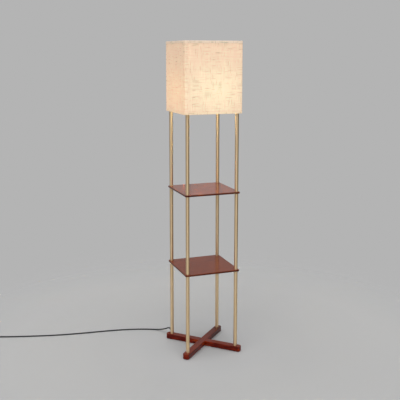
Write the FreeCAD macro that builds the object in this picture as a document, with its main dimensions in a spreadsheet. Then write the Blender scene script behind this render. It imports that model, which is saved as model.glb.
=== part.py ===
import FreeCAD, Part
import Sketcher
import math
import os

# Shelf floor lamp, millimetres, +Z up.
# Origin: on the floor, under the middle of the crossed base bars.
# The shelf edges are parallel to X and Y and the four posts stand at (+-p, +-p).
# The wide side of the shade that faces the viewer is the -Y side, and the cord leaves
# the back left post (-p, +p).

V = FreeCAD.Vector
doc = FreeCAD.newDocument("ShelfFloorLamp")

# ---------------------------------------------------------------- driving sizes
sheet = doc.addObject("Spreadsheet::Sheet", "Dims")
SIZES = [
    ("post_pitch", 225.0),        # post centre to post centre
    ("post_od", 16.0),
    ("post_id", 14.0),
    ("pad_thk", 2.0),
    ("pad_od", 24.0),
    ("bar_length", 370.0),        # crossed base bars
    ("bar_width", 30.0),
    ("bar_height", 22.0),
    ("bar_end_radius", 11.0),
    ("bar_edge_radius", 1.5),
    ("lap_play", 0.2),
    ("bolt_bore", 8.6),
    ("bolt_sink_od", 15.0),
    ("bolt_sink_depth", 10.5),
    ("shelf_width", 250.0),
    ("shelf_thk", 8.0),
    ("shelf_corner", 6.0),
    ("shelf_edge_radius", 1.6),
    ("shelf_bore", 10.4),
    ("seat_od", 16.3),            # shallow seats that the tubes stand in
    ("seat_depth", 1.0),
    ("lower_shelf_top", 379.0),
    ("upper_shelf_top", 729.0),
    ("post_top", 1092.0),
    ("insert_od", 13.9),
    ("joint_insert_bore", 10.1),
    ("joint_insert_length", 11.0),
    ("foot_insert_bore", 8.1),
    ("foot_insert_length", 8.5),
    ("head_insert_bore", 6.1),
    ("head_insert_length", 12.0),
    ("nipple_od", 10.0),
    ("nipple_id", 7.4),
    ("nipple_length", 29.0),
    ("cord_od", 6.0),
    ("cord_hole", 8.0),
    ("cord_hole_height", 37.0),
    ("wire_od", 2.1),
    ("wire_hole", 8.0),
    ("wire_hole_height", 1072.0),
    ("bracket_thk", 3.0),
    ("bracket_arm", 16.0),
    ("bracket_end_od", 24.0),
    ("bracket_hub_od", 40.0),
    ("shade_base", 1070.0),
    ("shade_width", 262.0),
    ("shade_height", 305.0),
    ("shade_corner", 10.0),
    ("hem_height", 10.0),
    ("hem_thk", 0.5),
    ("hem_fold", 0.6),
    ("fabric_thk", 0.6),
    ("liner_thk", 0.6),
    ("liner_gap", 0.1),
    ("ring_wire", 4.0),
    ("tab_thk", 2.0),
    ("tab_hole", 13.4),
    ("holder_od", 40.0),
    ("bulb_od", 60.0),
    ("bulb_foot", 1115.0),
    ("coil_radius", 33.0),
    ("coil_half_width", 9.2),
    ("coil_height", 12.4),
    ("switch_length", 62.0),
    ("switch_width", 25.0),
    ("switch_height", 16.0),
    ("switch_cord_axis", 5.0),
    ("rocker_length", 21.0),
    ("rocker_width", 11.0),
    ("rocker_tilt", 7.0),
    ("plug_length", 36.0),
    ("plug_width", 26.0),
    ("plug_height", 13.5),
    ("pin_pitch", 18.6),
    ("pin_od", 4.0),
    ("pin_length", 19.0),
]
for row, (alias, value) in enumerate(SIZES, start=1):
    sheet.set("A%d" % row, alias)
    sheet.set("B%d" % row, repr(value))
    sheet.setAlias("B%d" % row, alias)
doc.recompute()


class Size:
    """A number together with the sheet expression it comes from."""

    def __init__(self, value, text):
        self.value, self.text = float(value), text

    def _join(self, other, sign, value):
        return Size(value, "(%s %s %s)" % (self.text, sign, size(other).text))

    def __add__(self, other):
        return self._join(other, "+", self.value + size(other).value)

    def __radd__(self, other):
        return size(other) + self

    def __sub__(self, other):
        return self._join(other, "-", self.value - size(other).value)

    def __rsub__(self, other):
        return size(other) - self

    def __mul__(self, other):
        return self._join(other, "*", self.value * size(other).value)

    def __rmul__(self, other):
        return size(other) * self

    def __truediv__(self, other):
        return self._join(other, "/", self.value / size(other).value)

    def __neg__(self):
        return Size(-self.value, "(-1 * %s)" % self.text)

    def __float__(self):
        return self.value


def size(x):
    return x if isinstance(x, Size) else Size(x, "%.6f" % float(x))


def dim(alias):
    return Size(float(sheet.get(alias)), "Dims." + alias)


NODES = []                       # every object that becomes a file of its own


def keep(obj, label):
    obj.Label = label
    NODES.append(obj)
    return obj


def bind(obj, **props):
    for key, val in props.items():
        val = size(val)
        setattr(obj, key, val.value)
        obj.setExpression(key, val.text)
    return obj


def place(obj, x=0.0, y=0.0, z=0.0, rot=None):
    pos = [size(a) for a in (x, y, z)]
    obj.Placement = FreeCAD.Placement(V(*[a.value for a in pos]), rot or FreeCAD.Rotation())
    for axis, a in zip("xyz", pos):
        obj.setExpression("Placement.Base." + axis, a.text)
    return obj


def turned(axis, angle):
    return FreeCAD.Rotation(V(*axis), angle)


# ---------------------------------------------------------------- primitives
def cylinder(name, radius, height, x=0.0, y=0.0, z=0.0, rot=None):
    return place(bind(doc.addObject("Part::Cylinder", name), Radius=radius, Height=height), x, y, z, rot)


def cone(name, r1, r2, height, x=0.0, y=0.0, z=0.0, rot=None):
    return place(bind(doc.addObject("Part::Cone", name), Radius1=r1, Radius2=r2, Height=height), x, y, z, rot)


def box(name, length, width, height, x=0.0, y=0.0, z=0.0, rot=None):
    return place(bind(doc.addObject("Part::Box", name), Length=length, Width=width, Height=height), x, y, z, rot)


def prism(name, sides, radius, height, x=0.0, y=0.0, z=0.0, rot=None):
    obj = doc.addObject("Part::Prism", name)
    obj.Polygon = sides
    obj.setExpression("Circumradius", size(radius).text)
    return place(bind(obj, Height=height), x, y, z, rot)


def cut(name, base, tool):
    obj = doc.addObject("Part::Cut", name)
    obj.Base, obj.Tool = base, tool
    return obj


def fuse(name, *shapes):
    obj = doc.addObject("Part::MultiFuse", name)
    obj.Shapes = list(shapes)
    obj.Refine = True
    return obj


def group(label, parts):
    obj = doc.addObject("Part::Compound", label)
    obj.Links = list(parts)
    return keep(obj, label)


# ---------------------------------------------------------------- bodies and sketches
def new_body(label, x=0.0, y=0.0, z=0.0, rot=None):
    return keep(place(doc.addObject("PartDesign::Body", label), x, y, z, rot), label)


def plane(body, role):
    return [f for f in body.Origin.OriginFeatures if f.Role == role][0]


def new_sketch(body, name, role="XY_Plane", offset=None):
    sk = body.newObject("Sketcher::SketchObject", name)
    sk.AttachmentSupport = [(plane(body, role), "")]
    sk.MapMode = "FlatFace"
    if offset is not None:
        offset = size(offset)
        sk.AttachmentOffset = FreeCAD.Placement(V(0, 0, offset.value), FreeCAD.Rotation())
        sk.setExpression("AttachmentOffset.Base.z", offset.text)
    return sk


def pin_down(sk, kind, geo, pos, value):
    """Holds one coordinate of a sketch point to a sheet expression."""
    value = size(value)
    if abs(value.value) < 1e-9:
        sk.addConstraint(Sketcher.Constraint("PointOnObject", geo, pos, -2 if kind == "DistanceX" else -1))
        return
    i = sk.addConstraint(Sketcher.Constraint(kind, -1, 1, geo, pos, value.value))
    sk.setExpression("Constraints[%d]" % i, value.text)


def add_circle(sk, x, y, diameter):
    x, y, diameter = size(x), size(y), size(diameter)
    g = sk.addGeometry(Part.Circle(V(x.value, y.value, 0), V(0, 0, 1), diameter.value / 2), False)
    if abs(x.value) < 1e-9 and abs(y.value) < 1e-9:
        sk.addConstraint(Sketcher.Constraint("Coincident", g, 3, -1, 1))
    else:
        pin_down(sk, "DistanceX", g, 3, x)
        pin_down(sk, "DistanceY", g, 3, y)
    i = sk.addConstraint(Sketcher.Constraint("Diameter", g, diameter.value))
    sk.setExpression("Constraints[%d]" % i, diameter.text)


def add_outline(sk, points):
    """A closed run of straight lines, every corner held to the sheet."""
    pts = [(size(x), size(y)) for x, y in points]
    first = None
    n = len(pts)
    for k in range(n):
        a, b = pts[k], pts[(k + 1) % n]
        g = sk.addGeometry(Part.LineSegment(V(a[0].value, a[1].value, 0), V(b[0].value, b[1].value, 0)), False)
        first = g if first is None else first
    for k in range(n):
        sk.addConstraint(Sketcher.Constraint("Coincident", first + k, 2, first + (k + 1) % n, 1))
    for k in range(n):
        pin_down(sk, "DistanceX", first + k, 1, pts[k][0])
        pin_down(sk, "DistanceY", first + k, 1, pts[k][1])


def add_rectangle(sk, length, width, x=0.0, y=0.0):
    length, width, x, y = size(length), size(width), size(x), size(y)
    a, b = length / 2, width / 2
    add_outline(sk, [(x - a, y - b), (x + a, y - b), (x + a, y + b), (x - a, y + b)])


def pad(body, sk, length, name):
    return bind(_feature(body, sk, "PartDesign::Pad", name), Length=length)


def _feature(body, sk, kind, name):
    f = body.newObject(kind, name)
    f.Profile = sk
    sk.Visibility = False
    return f


def pocket(body, sk, length, name, reverse=False):
    """Cuts against the sketch's normal, or along it when reversed, and proves that it cut."""
    doc.recompute()
    before = body.Shape.Volume
    f = _feature(body, sk, "PartDesign::Pocket", name)
    bind(f, Length=length)
    f.Reversed = reverse
    doc.recompute()
    if not body.Shape.Volume < before - 0.1:
        raise RuntimeError("%s cuts nothing" % name)
    return f


def revolve(body, sk, name):
    f = _feature(body, sk, "PartDesign::Revolution", name)
    f.ReferenceAxis = (sk, ["V_Axis"])
    f.Angle = 360.0
    return f


def vertical_edges(shape):
    out = []
    for i, e in enumerate(shape.Edges, start=1):
        if isinstance(e.Curve, Part.Line) and abs(e.tangentAt(e.FirstParameter).z) > 0.999:
            out.append("Edge%d" % i)
    return out


def edges_at(shape, z, keep_edge=lambda e: True):
    out = []
    for i, e in enumerate(shape.Edges, start=1):
        b = e.BoundBox
        if abs(b.ZMin - z) < 1e-4 and abs(b.ZMax - z) < 1e-4 and keep_edge(e):
            out.append("Edge%d" % i)
    return out


def round_edges(body, names, radius, name):
    """Rounds edges that were read from the body's last feature."""
    tip = body.Tip
    f = body.newObject("PartDesign::Fillet", name)
    f.Base = (tip, names)
    bind(f, Radius=radius)
    doc.recompute()
    return f


def round_bar_tool(name, length, width, height, radius, x=0.0, y=0.0, z=0.0, rot=None):
    """A plain block with its four upright corners rounded."""
    b = box(name + "_block", length, width, height)
    doc.recompute()
    f = doc.addObject("Part::Fillet", name)
    f.Base = b
    r = size(radius).value
    f.Edges = [(int(e[4:]), r, r) for e in vertical_edges(b.Shape)]
    return place(f, x, y, z, rot)


# ---------------------------------------------------------------- named levels
p = dim("post_pitch") / 2
pad_top = dim("pad_thk")
base_top = dim("pad_thk") + dim("bar_height")
lower_top = dim("lower_shelf_top")
lower_under = lower_top - dim("shelf_thk")
upper_top = dim("upper_shelf_top")
upper_under = upper_top - dim("shelf_thk")
post_top = dim("post_top")
bracket_top = post_top + dim("bracket_thk")
seat = dim("seat_depth")
reach = dim("post_pitch") * 0.70710678          # lamp axis to post axis, along a base bar

CORNERS = [
    ("front_left", -1, -1),
    ("front_right", 1, -1),
    ("back_right", 1, 1),
    ("back_left", -1, 1),
]

# ================================================================ crossed base
# Two equal bars on the diagonals, joined by a half lap with flush tops. The bar that runs
# from the front left to the back right is whole on top, the other one passes under it.
def base_bar(label, angle, notch_on_top):
    b = new_body(label, 0, 0, pad_top, turned((0, 0, 1), angle))
    sk = new_sketch(b, label + "_outline")
    add_rectangle(sk, dim("bar_length"), dim("bar_width"))
    pad(b, sk, dim("bar_height"), label + "_blank")
    doc.recompute()
    round_edges(b, vertical_edges(b.Tip.Shape), dim("bar_end_radius"), label + "_ends")
    top = edges_at(b.Tip.Shape, float(dim("bar_height")))
    low = edges_at(b.Tip.Shape, 0.0)
    round_edges(b, top + low, dim("bar_edge_radius"), label + "_edges")
    # half lap
    if notch_on_top:
        sk = new_sketch(b, label + "_lap", offset=dim("bar_height"))
        add_rectangle(sk, dim("bar_width") + dim("lap_play"), dim("bar_width") * 2)
        pocket(b, sk, dim("bar_height") / 2, label + "_notch")
    else:
        sk = new_sketch(b, label + "_lap")
        add_rectangle(sk, dim("bar_width") + dim("lap_play"), dim("bar_width") * 2)
        pocket(b, sk, dim("bar_height") / 2, label + "_notch", reverse=True)
    # bolt holes with their sunk seats, cut from below
    sk = new_sketch(b, label + "_bolt_line")
    add_circle(sk, reach, 0, dim("bolt_bore"))
    add_circle(sk, -reach, 0, dim("bolt_bore"))
    pocket(b, sk, dim("bar_height"), label + "_bolt_bores", reverse=True)
    sk = new_sketch(b, label + "_sink_line")
    add_circle(sk, reach, 0, dim("bolt_sink_od"))
    add_circle(sk, -reach, 0, dim("bolt_sink_od"))
    pocket(b, sk, dim("bolt_sink_depth"), label + "_bolt_sinks", reverse=True)
    # centre screw
    if notch_on_top:
        sk = new_sketch(b, label + "_screw_line")
        add_circle(sk, 0, 0, 5.3)
        pocket(b, sk, dim("bar_height") / 2, label + "_screw_bore", reverse=True)
        sk = new_sketch(b, label + "_head_line")
        add_circle(sk, 0, 0, 10.2)
        pocket(b, sk, 4.0, label + "_screw_sink", reverse=True)
    else:
        sk = new_sketch(b, label + "_screw_line", offset=dim("bar_height") / 2)
        add_circle(sk, 0, 0, 5.1)
        pocket(b, sk, 8.0, label + "_screw_bore", reverse=True)
    return b


base_bar("base_bar_under", -45, True)
base_bar("base_bar_over", 45, False)

# centre screw: a pan head sunk in the lower bar and a shank up into the upper one
head = cylinder("lap_screw_head", 4.6, 3.2, 0, 0, pad_top + 0.6)
slot = box("lap_screw_slot", 7.0, 1.2, 1.5, -3.5, -0.6, pad_top + 0.6)
shank = cylinder("lap_screw_shank", 2.5, 14.0, 0, 0, pad_top + 3.8)
keep(fuse("lap_screw_all", cut("lap_screw_head_cut", head, slot), shank), "lap_screw")

group("foot_pads", [
    cylinder("foot_pad_" + n, dim("pad_od") / 2, dim("pad_thk"), p * sx, p * sy, 0) for n, sx, sy in CORNERS
])


def base_bolt(n, sx, sy):
    seat = pad_top + dim("bolt_sink_depth") - 1.2
    h = cylinder("bolt_head_" + n, 6.5, 8.0, p * sx, p * sy, seat - 8.0)
    hexagon = prism("bolt_socket_" + n, 6, 3.46, 4.0, p * sx, p * sy, seat - 8.0)
    s = cylinder("bolt_shank_" + n, 4.0, 1.2 + dim("bar_height") - dim("bolt_sink_depth") + dim("foot_insert_length") - 0.5,
                 p * sx, p * sy, seat)
    return fuse("bolt_" + n, cut("bolt_head_cut_" + n, h, hexagon), s)


group("base_bolts", [base_bolt(*c) for c in CORNERS])


def ring(name, outer_r, inner_r, height, x, y, z):
    return cut(name, cylinder(name + "_out", outer_r, height, x, y, z), cylinder(name + "_in", inner_r, height, x, y, z))


group("base_washers", [
    ring("base_washer_" + n, 7.0, 4.2, 1.2, p * sx, p * sy, pad_top + dim("bolt_sink_depth") - 1.2) for n, sx, sy in CORNERS
])

# ================================================================ posts
# Each post is three plain brass tubes with the shelves held between them. The back left
# post carries the wires: the cord enters near its foot and the wires leave near its top.
def post(label, sx, sy, low, high, cord_hole=False, wire_hole=False):
    b = new_body(label, p * sx, p * sy, low)
    sk = new_sketch(b, label + "_ring")
    add_circle(sk, 0, 0, dim("post_od"))
    add_circle(sk, 0, 0, dim("post_id"))
    pad(b, sk, high - low, label + "_tube")
    if cord_hole:       # through the back wall (+Y)
        sk = new_sketch(b, label + "_cord_hole", "XZ_Plane")
        add_circle(sk, 0, dim("cord_hole_height") - low, dim("cord_hole"))
        pocket(b, sk, dim("post_od"), label + "_cord_cut", reverse=False)
        doc.recompute()
        c = b.Shape.Solids[0].CenterOfMass - b.Placement.Base
        if c.y > 0:
            raise RuntimeError("the cord hole is on the wrong side: %s" % c)
    if wire_hole:       # through the inner wall, towards the lamp's axis
        sk = new_sketch(b, label + "_wire_hole", "XZ_Plane")
        sk.AttachmentOffset = FreeCAD.Placement(V(0, 0, 0), FreeCAD.Rotation(V(0, 1, 0), -45.0 * sx * sy))
        add_circle(sk, 0, dim("wire_hole_height") - low, dim("wire_hole"))
        pocket(b, sk, dim("post_od"), label + "_wire_cut", reverse=True)
        doc.recompute()
        c = b.Shape.Solids[0].CenterOfMass - b.Placement.Base
        if c.x * sx < 0 or c.y * sy < 0:
            raise RuntimeError("the wire hole is on the wrong side: %s" % c)
    return b


for n, sx, sy in CORNERS:
    wired = n == "back_left"
    post("lower_post_" + n, sx, sy, base_top, lower_under + seat, cord_hole=wired)
    post("middle_post_" + n, sx, sy, lower_top - seat, upper_under + seat)
    post("upper_post_" + n, sx, sy, upper_top - seat, post_top, wire_hole=wired)


def plugs(prefix, bore, length, levels):
    return [
        ring("%s_%s_%d" % (prefix, n, k), dim("insert_od") / 2, bore / 2, length, p * sx, p * sy, z)
        for n, sx, sy in CORNERS for k, z in enumerate(levels)
    ]


jl = dim("joint_insert_length")
group("post_foot_inserts", plugs("foot_insert", dim("foot_insert_bore"), dim("foot_insert_length"), [base_top]))
group("shelf_joint_inserts", plugs("joint_insert", dim("joint_insert_bore"), jl,
                                   [lower_under + seat - jl, lower_top - seat, upper_under + seat - jl, upper_top - seat]))
group("post_head_inserts", plugs("head_insert", dim("head_insert_bore"), dim("head_insert_length"),
                                 [post_top - dim("head_insert_length")]))
group("shelf_nipples", [
    ring("nipple_%s_%d" % (n, k), dim("nipple_od") / 2, dim("nipple_id") / 2, dim("nipple_length"), p * sx, p * sy,
         z + (dim("shelf_thk") - dim("nipple_length")) / 2)
    for n, sx, sy in CORNERS for k, z in enumerate([lower_under, upper_under])
])

# ================================================================ shelves
def shelf(label, under):
    b = new_body(label, 0, 0, under)
    sk = new_sketch(b, label + "_outline")
    add_rectangle(sk, dim("shelf_width"), dim("shelf_width"))
    pad(b, sk, dim("shelf_thk"), label + "_board")
    doc.recompute()
    round_edges(b, vertical_edges(b.Tip.Shape), dim("shelf_corner"), label + "_corners")
    edges = edges_at(b.Tip.Shape, 0.0) + edges_at(b.Tip.Shape, float(dim("shelf_thk")))
    round_edges(b, edges, dim("shelf_edge_radius"), label + "_edges")
    sk = new_sketch(b, label + "_bore_line")
    for _, sx, sy in CORNERS:
        add_circle(sk, p * sx, p * sy, dim("shelf_bore"))
    pocket(b, sk, dim("shelf_thk"), label + "_bores", reverse=True)
    for face, offset, flip in (("under", 0.0, True), ("top", dim("shelf_thk"), False)):
        sk = new_sketch(b, label + "_seat_line_" + face, offset=offset)
        for _, sx, sy in CORNERS:
            add_circle(sk, p * sx, p * sy, dim("seat_od"))
        pocket(b, sk, seat, label + "_seats_" + face, reverse=flip)
    return b


shelf("lower_shelf", lower_under)
shelf("upper_shelf", upper_under)

# ================================================================ head bracket and lamp holder
b = new_body("cross_bracket", 0, 0, post_top, turned((0, 0, 1), 45))
sk = new_sketch(b, "bracket_arm_x")
add_rectangle(sk, reach * 2, dim("bracket_arm"))
pad(b, sk, dim("bracket_thk"), "bracket_arm_x_pad")
sk = new_sketch(b, "bracket_arm_y")
add_rectangle(sk, dim("bracket_arm"), reach * 2)
pad(b, sk, dim("bracket_thk"), "bracket_arm_y_pad")
sk = new_sketch(b, "bracket_discs")
add_circle(sk, 0, 0, dim("bracket_hub_od"))
pad(b, sk, dim("bracket_thk"), "bracket_hub")
for k, (x, y) in enumerate(((reach, 0), (-reach, 0), (0, reach), (0, -reach))):
    sk = new_sketch(b, "bracket_end_%d" % k)
    add_circle(sk, x, y, dim("bracket_end_od"))
    pad(b, sk, dim("bracket_thk"), "bracket_end_pad_%d" % k)
sk = new_sketch(b, "bracket_holes")
add_circle(sk, 0, 0, dim("nipple_od") + 0.3)
for x, y in ((reach, 0), (-reach, 0), (0, reach), (0, -reach)):
    add_circle(sk, x, y, 6.5)
pocket(b, sk, dim("bracket_thk"), "bracket_bores", reverse=True)


def bracket_screw(n, sx, sy):
    h = cylinder("bracket_head_" + n, 6.0, 3.6, p * sx, p * sy, bracket_top)
    s1 = box("bracket_slot_a_" + n, 6.4, 1.2, 2.0, p * sx - 3.2, p * sy - 0.6, bracket_top + 1.6)
    s2 = box("bracket_slot_b_" + n, 1.2, 6.4, 2.0, p * sx - 0.6, p * sy - 3.2, bracket_top + 1.6)
    s = cylinder("bracket_shank_" + n, 3.0, 13.0, p * sx, p * sy, bracket_top - 13.0)
    return fuse("bracket_screw_" + n, cut("bracket_head_cut_" + n, h, fuse("bracket_cross_" + n, s1, s2)), s)


group("bracket_screws", [bracket_screw(*c) for c in CORNERS])

keep(ring("holder_nipple_tube", dim("nipple_od") / 2, dim("nipple_id") / 2, 17.0, 0, 0, post_top - 7.0), "holder_nipple")
keep(cut("holder_lock_nut_cut", prism("holder_lock_nut_hex", 6, 8.1, 4.6, 0, 0, post_top - 4.7),
         cylinder("holder_lock_nut_bore", 5.05, 4.6, 0, 0, post_top - 4.7)), "holder_lock_nut")


def turned_part(label, z0, outline):
    """A part turned about the lamp's axis: outline is (radius, height above z0)."""
    b = new_body(label, 0, 0, z0)
    sk = new_sketch(b, label + "_profile", "XZ_Plane")
    add_outline(sk, outline)
    revolve(b, sk, label + "_turned")
    doc.recompute()
    return b


hr = dim("holder_od") / 2
# lower cup, open on top, screwed down on the nipple
turned_part("holder_base_cup", bracket_top, [
    (5.2, 0), (hr - 6.0, 0), (hr - 3.2, 1.6), (hr - 1.8, 14.0), (hr - 1.8, 18.0), (hr - 3.4, 18.0),
    (hr - 4.0, 9.15), (hr - 7.4, 9.15), (hr - 7.4, 2.0), (5.2, 2.0)])
# porcelain block that carries the contacts
turned_part("holder_terminal_block", bracket_top + 9.2, [
    (0, 0), (hr - 5.4, 0), (hr - 4.6, 8.6), (10.0, 8.6), (10.0, 6.4), (0, 6.4)])
# outer skirt with its shoulder
turned_part("holder_skirt", bracket_top + 18.2, [
    (hr - 3.2, 0), (hr, 0), (hr, 5.0), (hr - 1.2, 6.2), (hr - 1.2, 27.0), (hr - 2.4, 29.0), (14.6, 29.0),
    (14.6, 27.2), (hr - 3.2, 27.2)])
# threaded sleeve, drawn plain at its core size
turned_part("holder_thread_shell", bracket_top + 18.3, [
    (13.5, 0), (14.3, 0), (14.3, 25.0), (13.5, 25.0)])

t1 = box("contact_foot", 12.0, 4.0, 0.5, -9.0, -2.0, bracket_top + 15.65)
t2 = box("contact_tongue", 9.0, 4.0, 0.5, -4.4, -2.0, bracket_top + 19.2)
t3 = box("contact_rise", 0.5, 4.0, 4.05, 2.6, -2.0, bracket_top + 15.65)
keep(fuse("holder_centre_contact_all", t1, t2, t3), "holder_centre_contact")
group("holder_terminal_screws", [
    cut("terminal_screw_%d" % k, cylinder("terminal_head_%d" % k, 1.9, 2.2, 0, 7.2 * k, bracket_top + 15.65),
        box("terminal_slot_%d" % k, 3.8, 0.7, 0.9, -1.9, 7.2 * k - 0.35, bracket_top + 16.95))
    for k in (-1, 1)
])

# ================================================================ cord entry and inner wires
def path_wire(points, radii):
    """Straight runs joined by tangent arcs."""
    pts = [V(*q) for q in points]
    edges, start = [], pts[0]
    for i in range(1, len(pts) - 1):
        a, b, c = pts[i - 1], pts[i], pts[i + 1]
        u, w = (b - a).normalize(), (c - b).normalize()
        turn = u.getAngle(w)
        back = radii[i - 1] * math.tan(turn / 2)
        t_in, t_out = b - u * back, b + w * back
        bis = (w - u).normalize()
        centre = b + bis * (radii[i - 1] / math.cos(turn / 2))
        mid = centre + (b - centre).normalize() * radii[i - 1]
        if (t_in - start).Length > 1e-6:
            edges.append(Part.LineSegment(start, t_in).toShape())
        edges.append(Part.Arc(t_in, mid, t_out).toShape())
        start = t_out
    edges.append(Part.LineSegment(start, pts[-1]).toShape())
    return Part.Wire(edges)


def tube(points, radii, diameter, name):
    wire = path_wire(points, radii)
    d = (V(*points[1]) - V(*points[0])).normalize()
    section = Part.Wire(Part.makeCircle(diameter / 2, V(*points[0]), d))
    sweep = wire.makePipeShell([section], True, True)
    want = math.pi * diameter ** 2 / 4 * wire.Length
    if not sweep.isValid() or abs(sweep.Volume / want - 1) > 0.01:
        raise RuntimeError("%s: volume %.1f, expected %.1f" % (name, sweep.Volume, want))
    return sweep, wire.Length


def fair_radii(points, name):
    """Each arc as large as its two runs allow."""
    pts = [V(*q) for q in points]
    out = []
    for i in range(1, len(pts) - 1):
        a, b = pts[i] - pts[i - 1], pts[i + 1] - pts[i]
        turn = a.getAngle(b)
        out.append(0.45 * min(a.Length, b.Length) / math.tan(turn / 2))
    print("%s radii:" % name, " ".join("%.0f" % r for r in out))
    print("%s runs:" % name, " ".join("%.0f" % (pts[i + 1] - pts[i]).Length for i in range(len(pts) - 1)))
    return out


def shape_node(label, shape, placement=None):
    """A solid whose form no feature above makes. It is drawn in its own frame, then placed."""
    obj = doc.addObject("Part::Feature", label)
    obj.Shape = shape
    obj.Placement = placement or FreeCAD.Placement()
    return keep(obj, label)


px, py = -float(p), float(p)
hole_z = float(dim("cord_hole_height"))
wire_z = float(dim("wire_hole_height"))
exit_y = 146.0

# rubber sleeve: a neck through the hole in the tube and a taper that backs the cord
back = turned((1, 0, 0), -90)
neck = cylinder("relief_neck", dim("cord_hole") / 2 - 0.1, 7.6, -p, 114.4, dim("cord_hole_height"), back)
taper = cone("relief_taper", 5.2, 3.6, exit_y - 117.0, -p, 117.0, dim("cord_hole_height"), back)
trim = cylinder("relief_trim", dim("post_od") / 2 + 0.05, 40.0, -p, p, dim("cord_hole_height") - 20.0)
keep(fuse("cord_strain_relief_all", cut("relief_taper_cut", taper, trim), neck), "cord_strain_relief")

# two insulated wires from the sleeve up the post, across to the axis and up into the holder
wires = []
hw = float(dim("wire_od"))
for k, s in (("a", 1), ("b", -1)):
    o, d = 1.25 * s, 0.9 * s
    route = [
        (px + o, 114.3, hole_z), (px + o, 110.2, hole_z), (px + o, 108.9, hole_z + 9.0),
        (px + d, py + d, hole_z + 60.0), (px + d, py + d, wire_z),
        (px / 2 + d, py / 2 + d, wire_z - 2.0), (d, d, wire_z - 1.0), (d, d, float(bracket_top) + 9.1),
    ]
    rad = [2.4, 8.0, 60.0, 5.5, 300.0, 9.0]
    solid, length = tube(route, rad, hw, "wire_" + k)
    wires.append(solid)
shape_node("internal_wires", Part.makeCompound(wires))

# rubber ring in the wire hole of the upper tube, its bore along the diagonal
u = V(1, -1, 0).normalize()
c0 = V(px, py, wire_z)
g = Part.makeCylinder(float(dim("wire_hole")) / 2 - 0.1, 3.4, c0 + u * 5.6, u)
g = g.fuse(Part.makeCylinder(5.2, 1.4, c0 + u * 7.8, u).cut(Part.makeCylinder(float(dim("post_od")) / 2 + 0.05, 40, V(px, py, wire_z - 20))))
g = g.cut(Part.makeCylinder(2.7, 20, c0, u))
shape_node("wire_grommet", g.removeSplitter())

# ================================================================ mains cord
# The cord drops from the sleeve to the floor and runs off to the left. Where the picture ends
# it passes through a switch and is wound up in a coil, with the plug beside it.
cd = float(dim("cord_od"))
FLOOR = cd / 2 + 0.05
LEAD = [
    (px, exit_y, 37.0), (-114.5, 165.0, 34.5), (-121.0, 184.0, 26.5), (-133.5, 204.0, 16.0), (-152.0, 224.5, 7.0),
    (-178.0, 242.0, FLOOR), (-225.0, 260.5, FLOOR), (-280.0, 276.0, FLOOR), (-341.0, 288.0, FLOOR),
    (-405.0, 296.6, FLOOR), (-471.0, 303.4, FLOOR), (-539.0, 311.2, FLOOR), (-606.0, 322.2, FLOOR),
    (-672.0, 336.7, FLOOR), (-737.0, 353.5, FLOOR), (-801.0, 371.7, FLOOR), (-851.0, 386.8, 3.5), (-894.0, 399.8, 5.0),
]
lead, lead_len = tube(LEAD, fair_radii(LEAD, "cord_lead"), cd, "cord_lead")
shape_node("cord_lead", lead)

heading = (V(*LEAD[-1]) - V(*LEAD[-2]))
heading.z = 0
heading.normalize()                               # the way the cord runs, seen from above
side = V(heading.y, -heading.x, 0)                # to its right
sl = float(dim("switch_length"))
sw_in = V(*LEAD[-1])
sw_out = sw_in + heading * sl
sw_mid = (sw_in + sw_out) * 0.5
sw_mid.z = 0
coil_r = float(dim("coil_radius"))
coil_in = sw_out + heading * 46.0
coil_c = coil_in + side * (coil_r + 3.5)
coil_c.z = 0
q1 = sw_out + heading * 15.0
TAIL = [
    (sw_out.x, sw_out.y, 5.0), (q1.x, q1.y, 4.4),
    tuple(sw_out + heading * 31.0 - side * 0.9 + V(0, 0, FLOOR - 5.0)),
    tuple(coil_in - side * 2.7 + V(0, 0, FLOOR - 5.0)),
]
tail, tail_len = tube(TAIL, fair_radii(TAIL, "cord_tail"), cd, "cord_tail")
shape_node("cord_tail", tail)

hw2, ch = float(dim("coil_half_width")), float(dim("coil_height"))
coil = Part.makeCylinder(coil_r + hw2, ch, V(coil_c.x, coil_c.y, 0.05)).cut(
    Part.makeCylinder(coil_r - hw2, ch, V(coil_c.x, coil_c.y, 0.05)))
rim = [e for e in coil.Edges if isinstance(e.Curve, Part.Circle)]
coil = coil.makeFillet(2.9, rim)
shape_node("cord_coil", coil)

# band round the bundle, on the side that faces the switch
tie_c = coil_c - heading * coil_r
tie = Part.makeBox(9.0, 2 * hw2 + 2.0, ch + 1.2, V(-4.5, -hw2 - 1.0, 0)).cut(
    Part.makeBox(9.2, 2 * hw2 + 0.5, ch + 0.4, V(-4.6, -hw2 - 0.25, 0.02)))
yaw = math.degrees(math.atan2(heading.y, heading.x))
shape_node("coil_tie", tie, FreeCAD.Placement(V(tie_c.x, tie_c.y, 0), turned((0, 0, 1), yaw + 90)))

# the free end leaves the top layer of the coil and curves round to the plug behind it
def by_coil(ahead, right, z):
    """A point given along the cord's heading and to its right, from the coil's centre."""
    q = coil_c + heading * ahead + side * right
    return (q.x, q.y, z)


END = [
    by_coil(39.0, 2.0, 9.1), by_coil(39.0, 17.0, 9.1), by_coil(33.3, 30.9, 8.8),
    by_coil(22.7, 41.5, 7.6), by_coil(8.8, 47.2, 6.9), by_coil(-6.2, 47.2, 6.8),
]
end, end_len = tube(END, fair_radii(END, "cord_end"), cd, "cord_end")
shape_node("cord_end", end)
print("cord: lead %.0f, tail %.0f, end %.0f mm" % (lead_len, tail_len, end_len))
print("coil centre %.1f %.1f, switch middle %.1f %.1f, yaw %.2f" % (coil_c.x, coil_c.y, sw_mid.x, sw_mid.y, yaw))

# ---------------------------------------------------------------- switch on the cord
# Local frame of the switch: X along the cord, Z up, origin under its middle.
sw_place = FreeCAD.Placement(sw_mid, turned((0, 0, 1), yaw))
sw_w, sw_h = float(dim("switch_width")), float(dim("switch_height"))
split = 8.2


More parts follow.
